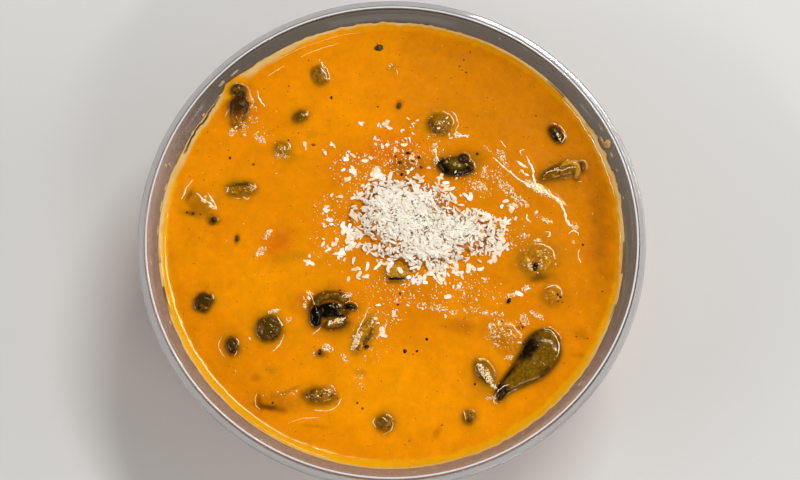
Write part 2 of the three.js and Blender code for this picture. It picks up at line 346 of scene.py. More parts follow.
def in_disc(dice, count, radius):
    """Places spread evenly over a disc: x, y and the direction from its middle."""
    r = radius * np.sqrt(dice.uniform(0, 1, count))
    angle = dice.uniform(0, 2 * np.pi, count)
    return r * np.cos(angle), r * np.sin(angle), angle


# ---------------------------------------------------------------- materials


class Recipe:
    """A material being built: one Principled shader, and nodes added by name."""

    def __init__(self, name):
        self.material = bpy.data.materials.new(name)
        self.material.use_nodes = True
        self.tree = self.material.node_tree
        self.tree.nodes.clear()
        self.shader = self.add("ShaderNodeBsdfPrincipled")
        self.output = self.add("ShaderNodeOutputMaterial")
        self.link(self.shader.outputs["BSDF"], self.output.inputs["Surface"])

    def add(self, kind, settings=None, **inputs):
        node = self.tree.nodes.new(kind)
        for key, value in (settings or {}).items():
            setattr(node, key, value)
        for key, value in inputs.items():
            self.put(node.inputs[key.replace("_", " ")], value)
        return node

    def put(self, socket, value):
        if isinstance(value, bpy.types.NodeSocket):
            self.link(value, socket)
        elif hasattr(value, "__len__") and len(value) == 3 and socket.type == "RGBA":
            socket.default_value = (*value, 1.0)
        else:
            socket.default_value = value

    def link(self, source, target):
        self.tree.links.new(source, target)

    def set(self, **inputs):
        for key, value in inputs.items():
            self.put(self.shader.inputs[key.replace("_", " ")], value)

    def place(self):
        """The point being shaded, in the object's own metres."""
        return self.add("ShaderNodeTexCoord").outputs["Object"]

    def height(self):
        return self.add("ShaderNodeSeparateXYZ", Vector=self.place()).outputs["Z"]

    def radius(self):
        """How far the point is from the bowl's axis, in metres."""
        flat = self.add("ShaderNodeVectorMath", {"operation": "MULTIPLY"})
        self.link(self.place(), flat.inputs[0])
        flat.inputs[1].default_value = (1, 1, 0)
        length = self.add("ShaderNodeVectorMath", {"operation": "LENGTH"})
        self.link(flat.outputs["Vector"], length.inputs[0])
        return length.outputs["Value"]

    def toward(self, direction):
        """How far the point is from the bowl's axis in one direction, in metres."""
        dot = self.add("ShaderNodeVectorMath", {"operation": "DOT_PRODUCT"})
        self.link(self.place(), dot.inputs[0])
        dot.inputs[1].default_value = direction
        return dot.outputs["Value"]

    def maths(self, operation, a, b):
        node = self.add("ShaderNodeMath", {"operation": operation})
        self.put(node.inputs[0], a)
        self.put(node.inputs[1], b)
        return node.outputs["Value"]

    def noise(self, per_mm, detail=2.0, roughness=0.5):
        """Noise from 0 to 1 with `per_mm` features in each millimetre."""
        node = self.add("ShaderNodeTexNoise", Vector=self.place(), Scale=per_mm / MM)
        self.put(node.inputs["Detail"], detail)
        self.put(node.inputs["Roughness"], roughness)
        return node.outputs["Fac"]

    def ramp(self, value, low, high, to_low=0.0, to_high=1.0):
        node = self.add("ShaderNodeMapRange", {"interpolation_type": "SMOOTHSTEP"}, Value=value)
        for key, number in (("From Min", low), ("From Max", high), ("To Min", to_low), ("To Max", to_high)):
            node.inputs[key].default_value = number
        return node.outputs["Result"]

    def blend(self, share, a, b, mode="MIX"):
        node = self.add("ShaderNodeMix", {"data_type": "RGBA", "blend_type": mode})
        self.put(node.inputs["Factor"], share)
        for key, value in (("A", a), ("B", b)):
            socket = [s for s in node.inputs if s.name == key and s.type == "RGBA"][0]
            self.put(socket, value)
        return [s for s in node.outputs if s.type == "RGBA"][0]

    def tone(self):
        """The colour that the mesh carries at each point."""
        return self.add("ShaderNodeAttribute", {"attribute_name": "tone"}).outputs["Color"]

    def bump(self, height, depth_mm):
        node = self.add("ShaderNodeBump", Height=height, Distance=depth_mm * MM)
        self.set(Normal=node.outputs["Normal"])


def dal_material():
    r = Recipe("dal")
    mottle = r.ramp(r.noise(0.35, 4, 0.6), 0.35, 0.65, 0.96, 1.03)
    shaded = r.blend(1.0, r.tone(), mottle, "MULTIPLY")
    speck = r.ramp(r.noise(2.3, 1, 0.4), 0.71, 0.76, 0.0, 0.7)
    colour = r.blend(speck, shaded, DAL_RED * 0.7)
    film_dryness = r.ramp(r.height(), (DAL_LEVEL + 1.2) * MM, (DAL_LEVEL + 1.8) * MM, 0.14, 0.5)
    r.set(Base_Color=colour, Roughness=film_dryness, IOR=1.36, Specular_Tint=OILY)
    r.set(Subsurface_Weight=0.15, Subsurface_Radius=(1.0, 0.4, 0.1), Subsurface_Scale=0.6 * MM)
    r.bump(r.noise(0.9, 3, 0.6), 0.03)
    return r.material


def plastic_material():
    """Clear plastic that lamps shine through. Above the dal its grey tint is painted shade, and its flange
    outside the bead is scuffed pale.

    A pale line on top of its bead is a painted highlight. Its wall above the dal is clouded pale by painted
    light, most of all to the southwest, with streaks of oil in it.
    """
    r = Recipe("clear_plastic")
    above = r.ramp(r.height(), (DAL_LEVEL - 2) * MM, (DAL_LEVEL + 1) * MM)
    # Above the dal the tint is painted shade: it darkens what shows through the wall.
    shaded_tint = r.blend(above, linear("F2F3F2"), linear("7E746A"))
    # bead: a painted highlight along the top of the bead. lip: the flange beyond it, scuffed pale.
    bead = r.ramp(r.height(), (HEIGHT - 0.12) * MM, (HEIGHT - 0.02) * MM)
    lip = r.ramp(r.radius(), (BEAD_RADIUS + 0.5) * MM, (BEAD_RADIUS + 0.9) * MM, 0.0, 0.6)
    scuffed_and_highlight = r.maths("MAXIMUM", bead, lip)
    # Painted light: the wall above the dal is paler and clouded to the southwest, with streaks of oil in it.
    southwest = r.ramp(r.toward((-0.5, -0.85, 0)), -0.03, 0.075, 0.0, 0.3)
    streaks = r.ramp(r.noise(0.5, 3), 0.3, 0.7, 0.7, 1.2)
    inside = r.ramp(r.radius(), (BEAD_RADIUS + 0.9) * MM, (BEAD_RADIUS + 0.5) * MM)
    oil_and_painted_light = r.maths("MULTIPLY", r.maths("MULTIPLY", southwest, streaks), r.maths("MULTIPLY", above, inside))
    colour = r.blend(r.ramp(oil_and_painted_light, 0.0, 0.15), shaded_tint, linear("CBAD99"))
    colour = r.blend(scuffed_and_highlight, colour, linear("F4F5F6"))
    cloud_and_painted_light = r.maths("MAXIMUM", r.maths("MULTIPLY", scuffed_and_highlight, 0.7), oil_and_painted_light)
    r.set(Base_Color=colour, Roughness=0.06, IOR=1.46)
    r.set(Transmission_Weight=r.maths("SUBTRACT", 1.0, cloud_and_painted_light))
    clear = r.add("ShaderNodeBsdfTransparent", Color=shaded_tint)
    shadow = r.add("ShaderNodeLightPath").outputs["Is Shadow Ray"]
    both = r.add("ShaderNodeMixShader")
    r.link(shadow, both.inputs[0])
    r.link(r.shader.outputs["BSDF"], both.inputs[1])
    r.link(clear.outputs["BSDF"], both.inputs[2])
    r.link(both.outputs["Shader"], r.output.inputs["Surface"])
    return r.material


def coconut_material(name, roughness, gloss):
    """Grated coconut: its tone comes with each flake, and this adds fibre and a moist shine."""
    r = Recipe(name)
    shade = r.ramp(r.noise(0.8, 2), 0.3, 0.7, 0.94, 1.03)
    r.set(Base_Color=r.blend(1.0, r.tone(), shade, "MULTIPLY"), Roughness=roughness)
    r.set(Coat_Weight=gloss, Coat_Roughness=0.06)
    r.bump(r.noise(5.0, 2), 0.02)
    return r.material


def food_material(name, roughness=0.12, grain_mm=0.05, per_mm=1.8):
    """A cooked vegetable's wet skin: its colours come with the mesh, and this adds grain and gloss."""
    r = Recipe(name)
    shade = r.ramp(r.noise(per_mm, 4, 0.65), 0.32, 0.68, 0.62, 1.3)
    colour = r.blend(1.0, r.tone(), shade, "MULTIPLY")
    r.set(Base_Color=colour, Roughness=roughness, IOR=1.36, Specular_Tint=OILY)
    r.bump(r.noise(per_mm * 1.1, 3, 0.6), grain_mm)
    return r.material


# ---------------------------------------------------------------- bowl

WALL_CURVE = [(FLOOR_RADIUS, FLOOR_HEIGHT), (52, FLOOR_HEIGHT), (59, 31.8), (MOUTH_RADIUS, MOUTH_HEIGHT)]


def bezier(points, t):
    a, b, c, d = np.asarray(points, float)
    t = np.asarray(t, float)[..., None]
    s = 1 - t
    return s**3 * a + 3 * s * s * t * b + 3 * s * t * t * c + t**3 * d


def wall_points(out, steps):
    """(radius, height) up the inside of the wall, moved outwards by `out`."""
    t = np.linspace(0, 1, steps)
    ahead = bezier(WALL_CURVE, t + 1e-4) - bezier(WALL_CURVE, t - 1e-4)
    ahead /= np.linalg.norm(ahead, axis=1)[:, None]
    return bezier(WALL_CURVE, t) + out * np.stack([ahead[:, 1], -ahead[:, 0]], 1)


wall_line = wall_points(0, 400)


def wall_height(r):
    return np.interp(r, wall_line[:, 0], wall_line[:, 1], right=MOUTH_HEIGHT + 4)


def arc(centre, radius, start, end, steps):
    """Points of a round stretch of profile, its angles in degrees."""
    angles = np.radians(np.linspace(start, end, steps))
    return [(centre[0] + radius * math.cos(a), centre[1] + radius * math.sin(a)) for a in angles]


def bowl_profile():
    top, ring = HEIGHT, HEIGHT - RING_DROP
    bead = 0.62
    roll = 0.7
    foot_in = FOOT_RADIUS - FOOT_WIDTH
    underside = FLOOR_HEIGHT - WALL
    outside = [p for p in wall_points(WALL, 40)[::-1] if p[0] > FOOT_RADIUS + 0.6]
    return [
        (0.01, FLOOR_HEIGHT + FLOOR_CROWN),
        (18, FLOOR_HEIGHT + 0.7 * FLOOR_CROWN),
        *wall_points(0, 44),
        *arc((BEAD_RADIUS, top - bead), bead, 170, 10, 9),
        (BEAD_RADIUS + bead + 0.15, ring + 0.02),
        (BEAD_RADIUS + bead + 0.6, ring - 0.02),
        *arc((RIM_RADIUS - roll, ring - 0.05 - roll), roll, 90, 0, 7),
        (RIM_RADIUS, ring - 0.6 * SKIRT_DEPTH),
        *arc((RIM_RADIUS - 0.25, ring - SKIRT_DEPTH + 0.25), 0.25, 0, -90, 4),
        (RIM_RADIUS - SKIRT_WALL + 0.1, ring - SKIRT_DEPTH),
        (RIM_RADIUS - SKIRT_WALL, ring - SKIRT_DEPTH + 0.2),
        *arc((RIM_RADIUS - SKIRT_WALL - 0.5, ring - WALL - 0.5), 0.5, 0, 90, 4),
        (BEAD_RADIUS + 0.9, ring - WALL),
        *outside,
        *arc((FOOT_RADIUS + 0.9, underside - 0.9), 0.9, 90, 180, 4),
        (FOOT_RADIUS, 0.4),
        *arc((FOOT_RADIUS - 0.4, 0.4), 0.4, -10, -90, 4),
        *arc((foot_in + 0.4, 0.4), 0.4, 270, 190, 4),
        (foot_in, underside - 0.5),
        (foot_in - 0.6, underside),
        (18, underside + 0.7 * FLOOR_CROWN),
        (0.01, underside + FLOOR_CROWN),
    ]


def make_bowl():
    points, faces = lathe(bowl_profile(), 360)
    keep(new_mesh("bowl_plastic", points, faces), plastic_material(), "clear_plastic", "bowl")


# ---------------------------------------------------------------- garnish


class Oval:
    """An ellipse on the dal: `long` and `wide` are half sizes, `turn` is in degrees from east to north."""

    def __init__(self, x, y, long, wide, turn=0.0):
        self.x, self.y = x, y
        self.long, self.wide = long, wide
        self.turn = math.radians(turn)

    def reach(self, x, y):
        """0 in the middle and 1 on the outline."""
        dx, dy = x - self.x, y - self.y
        c, s = math.cos(self.turn), math.sin(self.turn)
        return np.hypot((dx * c + dy * s) / self.long, (dy * c - dx * s) / self.wide)


class Body:
    """A piece of garnish: its mesh, and how it shows through the dal that clings to it.

    edge: the colour of its skin where it comes out of the dal. shade: the colour that it lends to
    the dal round it, as strongly as `stain`, over `spread` mm.
    """

    def __init__(self, node, mesh, edge, shade="8A5804", stain=0.65, spread=0.9):
        self.node = node
        self.points, self.faces, self.colours = mesh
        self.edge, self.shade = linear(edge), linear(shade)
        self.stain, self.spread = stain, spread


def lumpy(points, amount, grain, seed):
    """Points moved in and out of their shape's centre by noise with features of `grain` mm."""
    return points * (1 + amount * rough_noise(*points.T, grain, seed))[:, None]


def lumpy_ball(rows, sides, size, amount, grain, seed):
    """A lumpy ball with half sizes `size`, and its triangles."""
    points, faces = ball(rows, sides)
    return lumpy(points * size, amount, grain, seed), faces


def wavy(points, amount, grain, seed, axes=(1, 1, 1)):
    """Points moved by smooth noise of up to `amount`, by the share in `axes` along each axis."""
    return points + amount * noise(*points.T, grain, seed)[:, None] * axes


def skin(points, edge, top, dark, darkness, seed, clinging=0.5, blotches=0.6):
    """Mottled colours of a skin: `edge` near the dal, `top` above, `dark` in blotches and by `darkness`.

    clinging: how much of its lower part has dal on it.
    blotches: how dark the blotches are.
    """
    x, y, z = points.T
    above = z - DAL_LEVEL
    patch = rough_noise(x, y, z, 1.2, seed)
    fine = rough_noise(x, y, z, 0.5, seed + 1)
    colour = mix(edge, top, smoothstep(0.2, 1.6, above + 0.9 * patch + 0.4 * fine))
    blotch = smoothstep(0.1, 0.6, rough_noise(x, y, z, 0.9, seed + 2) + 0.4 * fine)
    colour = mix(colour, dark, np.maximum(blotches * blotch, darkness + 0.3 * patch))
    drops = smoothstep(0.15, 0.45, rough_noise(x, y, z, 0.8, seed + 3))
    return mix(colour, DAL_ORANGE, clinging * drops * smoothstep(2.4, 0.4, above))


def bite(node, length, width, turn=0, square=1.0, lumps=0.07, edge="543604", top="5E4006",
         dark="2E1C02", dark_turn=None, clinging=0.6, **lent):
    """A rounded piece: length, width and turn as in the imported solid, whose box gives the rest."""
    box_low, box_high = frame_box(node)
    centre = (box_low + box_high) / 2
    half = np.array([length / 2, width / 2, (box_high[2] - box_low[2]) / 2])
    seed = 100 + 7 * sum(ord(letter) for letter in node)
    points, faces = ball(40, 70)
    points = np.sign(points) * np.abs(points) ** square * half
    points = lumpy(points, lumps, 2.0, seed)
    toward = math.radians((dark_turn or 0) - turn)
    side = points[:, 0] / half[0] * math.cos(toward) + points[:, 1] / half[1] * math.sin(toward)
    darkness = 0.0 if dark_turn is None else smoothstep(0.0, 0.5, side)
    points = turned(points, turn) + centre
    colours = skin(points, edge, top, dark, darkness, seed, clinging)
    return Body(node, (points, faces, colours), edge, **lent)


def all_bites():
    return [
        bite("pea_west", 8.2, 8.6, edge="573C04", top="503804", dark="2C1C02", clinging=0.25,
             shade="8A5E04", spread=1.4),
        bite("pea_north", 8.6, 8.4, lumps=0.1, edge="8C5E04", top="94680A", dark="6A4002",
             dark_turn=-150, clinging=0.4, shade="A06A04", spread=1.3),
        bite("pea_south", 5.6, 5.2, edge="6C4604", top="7A5008", dark="4E2E02", clinging=0.4, spread=1.2),
        bite("pea_northwest", 5.2, 5.0, edge="9C6A08", top="A87408", dark="6E4804", clinging=0.5,
             shade="A87206", spread=1.2),
        bite("pea_heap", 7.6, 6.4, edge="B47A08", top="C08A1C", dark="8E5A08", shade="A87206", stain=0.4),
        bite("pea_southwest", 4.4, 6.2, 8, edge="4C2E06", top="523406", dark="0A0401", dark_turn=-80,
             clinging=0.15, shade="A06404", stain=0.75, spread=1.8),
        bite("pea_coated", 6.8, 7.0, edge="B87004", top="C07A08", dark="8A5004", clinging=0.9,
             shade="B06A04", stain=0.5, spread=1.4),
        bite("bean_north", 6.6, 4.8, 112, square=0.62, edge="825404", top="9A6610", dark="5E3A02",
             clinging=0.5, shade="A06A04", spread=0.7),
        bite("bean_northwest", 5.4, 3.8, 30, edge="604204", top="705008", dark="342202",
             clinging=0.4, shade="8E5E04", spread=1.2),
        bite("bean_west", 8.6, 4.4, 4, square=0.8, lumps=0.12, edge="906006", top="AA780C",
             dark="5A3802", dark_turn=80, spread=1.1),
        bite("bean_far_west", 5.8, 5.0, 64, square=0.7, edge="402804", top="483004", dark="1E1202",
             clinging=0.3, spread=1.0),
        bite("bean_southwest", 11.2, 6.0, -4, lumps=0.13, edge="845404", top="9E6A0C", dark="4A2A02",
             dark_turn=168, shade="985E04"),
        bite("bean_northeast", 6.6, 4.0, 124, edge="1C0F02", top="6A4C14", dark="060200",
             dark_turn=205, clinging=0.1, shade="6E4604", spread=1.0),
        bite("bean_southeast", 4.4, 3.4, 70, edge="7A4C04", top="9A6A12", dark="4A2C02",
             dark_turn=-90, spread=1.0),
        bite("strip_south", 13.4, 5.4, 62, edge="AC7208", top="C4861C", dark="5A3C04", dark_turn=-46,
             clinging=0.8, shade="B47604", stain=0.5),
        bite("leaf_southeast", 8.6, 5.2, 124, lumps=0.14, edge="8A5C06", top="9E6C12", dark="5E3C04",
             dark_turn=-140, shade="A06804", spread=1.3),
    ]


def east_lump():
    """Three lobes of a mashed vegetable under a skin of dal, with a hole between them that is painted dark as
    its shade.
    """
    box_low, box_high = frame_box("lump_east")
    x, y, z = (box_low + box_high) / 2
    tall = (box_high[2] - box_low[2]) / 2
    parts = []
    lobes = ((-2.4, -0.4, 3.2, 4.6, 20), (2.6, 0.2, 3.2, 4.8, -10), (0.2, 2.8, 4.4, 2.8, 10))
    for dx, dy, long, wide, turn in lobes:
        points, faces = lumpy_ball(36, 60, (long, wide, tall), 0.08, 2.4, 140)
        points = turned(points, turn) + (x + dx, y + dy, z - 0.1 * dy)
        hole_and_shade = np.exp(-((np.hypot(points[:, 0] - x + 0.2, points[:, 1] - y + 1.3) / 1.25) ** 4))
        points[:, 2] -= 1.2 * hole_and_shade
        colours = skin(points, "B47406", "C2840E", "966206", 0.0, 141, 0.2)
        # Painted shade darkens the hole.
        colours = mix(colours, "241602", 1.2 * hole_and_shade)
        parts.append((points, faces, colours))
    return Body("lump_east", join(*parts), "B07206", "B07206", 0.5, 1.6)


def east_bean():
    """A limp slice of bean with a curl of skin over it and a dark tip."""
    z = DAL_LEVEL - 0.3
    slice_sections = [
        (44.4, 17.6, z - 0.3, 0.8, 0.7),
        (47.1, 18.9, z, 1.7, 1.2),
        (50.7, 20.2, z + 0.1, 2.2, 1.5),
        (53.8, 20.9, z + 0.1, 2.2, 1.5),
        (56.8, 21.6, z, 1.3, 1.2),
    ]
    curl_sections = [
        (51.0, 21.8, z + 0.9, 0.6, 0.6),
        (53.4, 22.8, z + 1.2, 0.8, 0.7),
        (55.8, 21.9, z + 1.2, 0.8, 0.7),
        (56.0, 19.6, z + 0.8, 0.8, 0.7),
        (55.2, 17.8, z + 0.2, 0.6, 0.6),
    ]
    points, faces, share, angle = loft(slice_sections, 70, 36)
    points = wavy(points, 0.12, 1.3, 151)
    darkness = 0.8 * bell(share, 0.25, 0.2) * smoothstep(0.2, -0.5, np.cos(angle))
    parts = [(points, faces, skin(points, "744A06", "8A5C0A", "402804", darkness, 152))]
    points, faces, share, _ = loft(curl_sections, 50, 18)
    parts.append((points, faces, skin(points, "B07C12", "C69024", "8A5C08", 0.0, 153)))
    points, faces = lumpy_ball(18, 28, (0.9, 1.6, 0.9), 0.1, 1.0, 154)
    points = points + (57.4, 21.6, z + 0.3)
    parts.append((points, faces, skin(points, "6A4206", "5A3604", "3A2204", 0.3, 155)))
    return Body("bean_east", join(*parts), "744A06", "8E5A04", 0.75, 1.5)


def large_chilli():
    """A chilli split open: a hollow like a spoon's with a dark lip, and a thin curled tail."""
    z = DAL_LEVEL - 0.1
    sections = [
        (46.0, -28.8, z, 1.8, 1.2),
        (45.0, -31.6, z, 4.3, 1.8),
        (43.5, -35.0, z, 5.5, 2.0),
        (40.8, -38.9, z, 4.9, 1.8),
        (37.6, -41.8, z, 3.7, 1.5),
        (34.4, -44.3, z, 2.5, 1.3),
        (31.8, -46.7, z + 0.2, 1.6, 1.2),
        (30.8, -49.6, z + 0.4, 1.0, 1.0),
    ]
    points, faces, share, angle = loft(sections, 110, 60)
    across, up = np.cos(angle), np.sin(angle)
    head = smoothstep(0.02, 0.14, share) * smoothstep(0.58, 0.3, share)
    points[:, 2] -= 0.9 * np.clip(up, 0, 1) * (1 - across**2) * head
    points = wavy(points, 0.2, 2.4, 61, (0.5, 0.5, 1))
    x, y, _ = points.T
    ragged = 0.3 * rough_noise(x, y, grain=1.5, seed=60)
    black_patch = 1.2 * np.exp(-((Oval(39.9, -34.4, 2.3, 4.6, -34).reach(x, y) + ragged) ** 4))
    second_patch = 0.9 * np.exp(-((Oval(44.6, -41.6, 2.4, 1.2, 40).reach(x, y) + ragged) ** 2))
    lip = smoothstep(0.7, 0.94, across) * smoothstep(0.62, 0.4, share)
    tip = smoothstep(0.72, 0.84, share)
    lower_edge = smoothstep(0.3, 0.8, across) * smoothstep(0.45, 0.6, share)
    darkness = np.maximum.reduce([black_patch, second_patch, 0.6 * lip, tip, 0.8 * lower_edge])
    colours = skin(points, "6A4804", "7A5606", "140A02", darkness, 62, 0.1, 0.25)
    return Body("chilli_large", (points, faces, colours), "4A2E04", "7E5204", 0.8, 1.1)


def curled_chilli():
    """A ring of chilli curled like a hook round a black core, with a dark tip to the east."""
    z = DAL_LEVEL - 0.1
    sections = []
    for degrees in np.linspace(28, 205, 10):
        a = math.radians(degrees)
        sections.append((-17.9 + 5.0 * math.cos(a), -22.8 + 4.3 * math.sin(a), z, 1.2, 1.3))
    points, faces, _, _ = loft(sections, 70, 26)
    points = wavy(points, 0.25, 1.2, 63, (0.6, 0.6, 1))
    parts = [(points, faces, skin(points, "5E3A04", "74500A", "281602", 0.2, 64))]
    lobes = [  # x, y, half length, half width, half height, turn, height of its middle, edge, top
        (-18.4, -22.9, 3.6, 2.4, 1.4, 10, 0.1, "0E0501", "080300"),
        (-16.0, -24.4, 2.8, 0.9, 1.1, -14, 0.1, "140A02", "0C0501"),
        (-22.2, -24.6, 1.8, 3.5, 1.7, 6, 0.1, "0E0501", "080300"),
        (-12.4, -22.0, 1.9, 0.9, 0.8, -6, 0.5, "241002", "160A02"),
        (-16.6, -27.2, 3.6, 1.5, 1.1, 8, -0.2, "7E5206", "906410"),
        (-14.6, -23.4, 2.0, 1.8, 1.1, 0, -0.3, "8A5806", "96640A"),
    ]
    for k, (x, y, long, wide, tall, turn, up, edge, top) in enumerate(lobes):
        points, faces = lumpy_ball(26, 40, (long, wide, tall), 0.14, 1.2, 65 + k)
        points = turned(points, turn) + (x, y, DAL_LEVEL + up)
        parts.append((points, faces, skin(points, edge, top, "060200", 0.2, 166 + k, 0.0)))
    return Body("chilli_curl", join(*parts), "3A2204", "7A4C04", 0.85, 1.3)


def knobbed_chilli():
    """A short black-green chilli with a round knob on its east end."""
    x, y, z = 19.7, 22.9, DAL_LEVEL - 0.2
    sections = [
        (x - 5.6, y + 0.9, z - 0.1, 0.7, 0.8),
        (x - 4.4, y - 0.2, z, 2.0, 1.5),
        (x - 2.4, y - 1.2, z, 2.9, 1.8),
        (x + 0.6, y - 1.2, z, 3.0, 1.9),
        (x + 3.2, y - 0.9, z, 2.4, 1.6),
        (x + 4.6, y - 0.4, z - 0.3, 1.4, 1.2),
    ]
    points, faces, _, _ = loft(sections, 70, 44)
    points = wavy(points, 0.15, 1.3, 67)
    middle = np.exp(-(Oval(x + 0.2, y + 0.2, 3.2, 2.3, 10).reach(points[:, 0], points[:, 1]) ** 3))
    body = skin(points, "5E4206", "74540A", "0C0501", 0.95 - middle, 68, 0.0, 0.3)
    knob, knob_faces = lumpy_ball(24, 36, (1.75, 1.75, 1.7), 0.04, 1.5, 69)
    knob = knob + (x + 1.8, y + 1.0, DAL_LEVEL + 1.1)
    knob_colour = skin(knob, "241802", "402C08", "0C0602", 0.5, 70, 0.0)
    return Body("chilli_knobbed", join((points, faces, body), (knob, knob_faces, knob_colour)),
                "241602", "865604", 0.8, 1.5)


def leaning_stalk():
    """A pitted stalk leaning on the wall: black and green above, brown and clear below."""
    z = DAL_LEVEL
    sections = [
        (-47.2, 48.2, z + 1.5, 1.2, 0.9),
        (-47.2, 46.6, z + 1.3, 2.3, 1.7),
        (-46.8, 44.4, z + 1.0, 1.9, 1.7),
        (-46.9, 41.6, z + 0.7, 2.9, 1.9),
        (-47.3, 37.6, z + 0.1, 2.3, 1.5),
        (-47.5, 34.4, z - 0.4, 1.3, 1.0),
    ]
    points, faces, share, _ = loft(sections, 90, 44)
    x, y, zz = points.T
    pits = np.clip(2.2 * rough_noise(x, y, zz, 1.6, 71), 0, 1)
    points[:, 2] -= 0.8 * pits * smoothstep(0.85, 0.5, share)
    points = wavy(points, 0.45, 1.6, 73, (1, 0.4, 0.6))
    colours = skin(points, "4E3604", "6E500A", "0A0400", 1.2 * pits, 72, 0.1, 0.8)
    brown = skin(points, "3C2004", "442404", "180A02", 0.3 * pits, 74, 0.1)
    clear = skin(points, "A86408", "96580A", "5A3204", 0.5 * pits, 75, 0.9)
    colours = mix(colours, brown, smoothstep(0.40, 0.48, share + 0.1 * pits))
    colours = mix(colours, clear, smoothstep(0.68, 0.84, share))
    return Body("stalk_wall", (points, faces, colours), "6A4206", "9A6004", 0.6, 1.2)


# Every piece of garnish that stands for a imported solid.
BODIES = [*all_bites(), east_lump(), east_bean(), large_chilli(), curled_chilli(), knobbed_chilli(),
          leaning_stalk()]


def make_garnish():
    materials = {
        "pea": food_material("pea_skin"),
        "bean": food_material("bean_skin"),
        "coated": food_material("coated_skin", 0.12, 0.04, 1.2),
        "chilli": food_material("chilli_skin", 0.16, 0.04, 1.2),
        "stalk": food_material("stalk_skin", 0.14, 0.08),
    }
    slots = {row["node"]: row["material_slot"] for row in frame["record"]["subparts"]}
    for body in BODIES:
        piece = new_mesh(body.node + "_food", body.points, body.faces, body.colours)
        keep(piece, materials[slots[body.node]], slots[body.node], body.node)


# ---------------------------------------------------------------- the dal's surface

# Things sunk in the dal that lift it: x, y, half length, half width, turn, rise.
MOUNDS = [
    (-57.4, 9.4, 6, 4, -38, 0.85), (-53.2, 4.6, 1.6, 1.5, 0, 0.5), (-31.9, -50, 7.6, 4, -8, 0.75),
    (4.2, 22.4, 5.6, 4.4, 0, 0.6), (33.3, -31.2, 6.8, 5, -52, 1), (-26.4, -20.4, 5.4, 4.6, 0, 0.7),
    (-47.6, 42.6, 7.4, 5.4, 92, 0.9), (20.5, -27.6, 6.8, 3.2, -6, 0.35), (46, 12, 10, 3.4, -40, 0.35),
    (-35, -2, 6, 4.6, 20, 0.35), (-14, -23.4, 9, 7, 0, 0.3),
]

# Patches of colour in the dal, some of them painted light and shade: x, y, half length, half width, turn,
# colour, strength.
PATCHES = [
    # The six broad patches on the next three lines are painted light and shade over the dal, not colours of
    # its own.
    (10, 2, 34, 26, 0, "D27A02", 0.7), (46, -4, 16, 30, 0, "D67E02", 0.3),
    (-40, 20, 22, 18, 0, "DC8202", 0.4), (-36, -16, 20, 16, 0, "F49A00", 0.6),
    (0, -48, 30, 14, 0, "F49A00", 0.5), (-20, 40, 18, 12, 0, "F29600", 0.4),
    (-57.6, 9.2, 5.4, 3.4, -40, "996204", 0.8), (-53.4, 4.6, 1.7, 1.5, 0, "3A2402", 0.85),
    (-60.4, 6.9, 2.4, 0.9, -10, "5E3A04", 0.7), (-61, 12.4, 0.7, 2.4, -20, "7A4A04", 0.7),
    (-31.9, -50.2, 6.8, 3.2, -8, "B06404", 0.65), (-35.2, -51.6, 4.2, 0.9, -12, "4E2602", 0.85),
    (-38, -50, 0.8, 2.2, 10, "7A3C04", 0.7), (-30, -47, 4.4, 0.6, 24, "945604", 0.5),
    (4.6, 22.4, 5, 3.8, 0, "80500A", 0.75), (-12.4, 6.5, 3.8, 1, 84, "7C3004", 0.8),
    (-34, -2.4, 4.8, 4.2, 70, "CE5E06", 0.65), (-30.6, -6.6, 5.4, 1.9, 14, "B47606", 0.55),
    (-24, -20.6, 4.6, 3.6, 0, "C05E0A", 0.65), (0, 26.8, 8.6, 5.4, 0, "D46208", 0.6),
    (-16, 22, 6, 6, 0, "D26A08", 0.45), (33.6, -31.6, 6, 4.4, -52, "A86A06", 0.65),
    (37, -28.2, 0.7, 2.6, 100, "7E4604", 0.75), (20.6, -27.8, 6, 2.2, -6, "B06404", 0.6),
    # The dark patch at (43.4, -12.5) is painted shade under the east lump, and the one at (42.4, -9.5)
    # painted shade at its hole.
    (43.4, -6, 7.4, 7, 0, "B47206", 0.5), (43.4, -12.5, 3.4, 1.9, 8, "4A2A04", 1),
    (42.4, -9.5, 1.4, 1.6, 0, "2A1A04", 0.95), (28.2, -44.6, 5.8, 4.4, 124, "8E5E04", 0.45),
    (-20.8, -36, 1.2, 1.9, 80, "4A2E04", 0.75), (-46.2, -0.9, 1.6, 0.8, 80, "443004", 0.9),
    (2, 41.8, 1.7, 1.2, 70, "644204", 0.85), (0, 54.6, 1.5, 1.3, 0, "926804", 0.55),
    (-34.6, -40.7, 1.8, 1.6, 0, "BC8004", 0.55), (-39.4, -43, 1.4, 1.1, 0, "B85C06", 0.6),
    (-14, -29.4, 6, 2.2, 6, "AC6E06", 0.5), (23.8, 23.4, 6, 3.4, 6, "A86A04", 0.6),
    (-30.6, 24.6, 3.4, 2, 0, "B87804", 0.4), (-24.4, 32.6, 2.2, 1.6, 0, "B87604", 0.4),
    # The band at (61.8, 3) is painted shade along the east wall.
    (61.8, 3, 3, 17, 0, "A85E00", 0.7), (13, -58.6, 2, 1, 60, "B05C04", 0.5),
    (-22, -57, 4.6, 0.6, -6, "BC6A04", 0.5), (-9, -41.4, 1, 1.8, 70, "A66206", 0.5),
    (20, 60, 14, 4, -12, "B46A00", 0.35), (55.2, -30.4, 1.6, 2.2, 60, "B46A04", 0.5),
    (54.6, -36.6, 0.9, 2, 80, "B46A04", 0.6), (58, -6, 2, 3, 0, "D07008", 0.5),
]
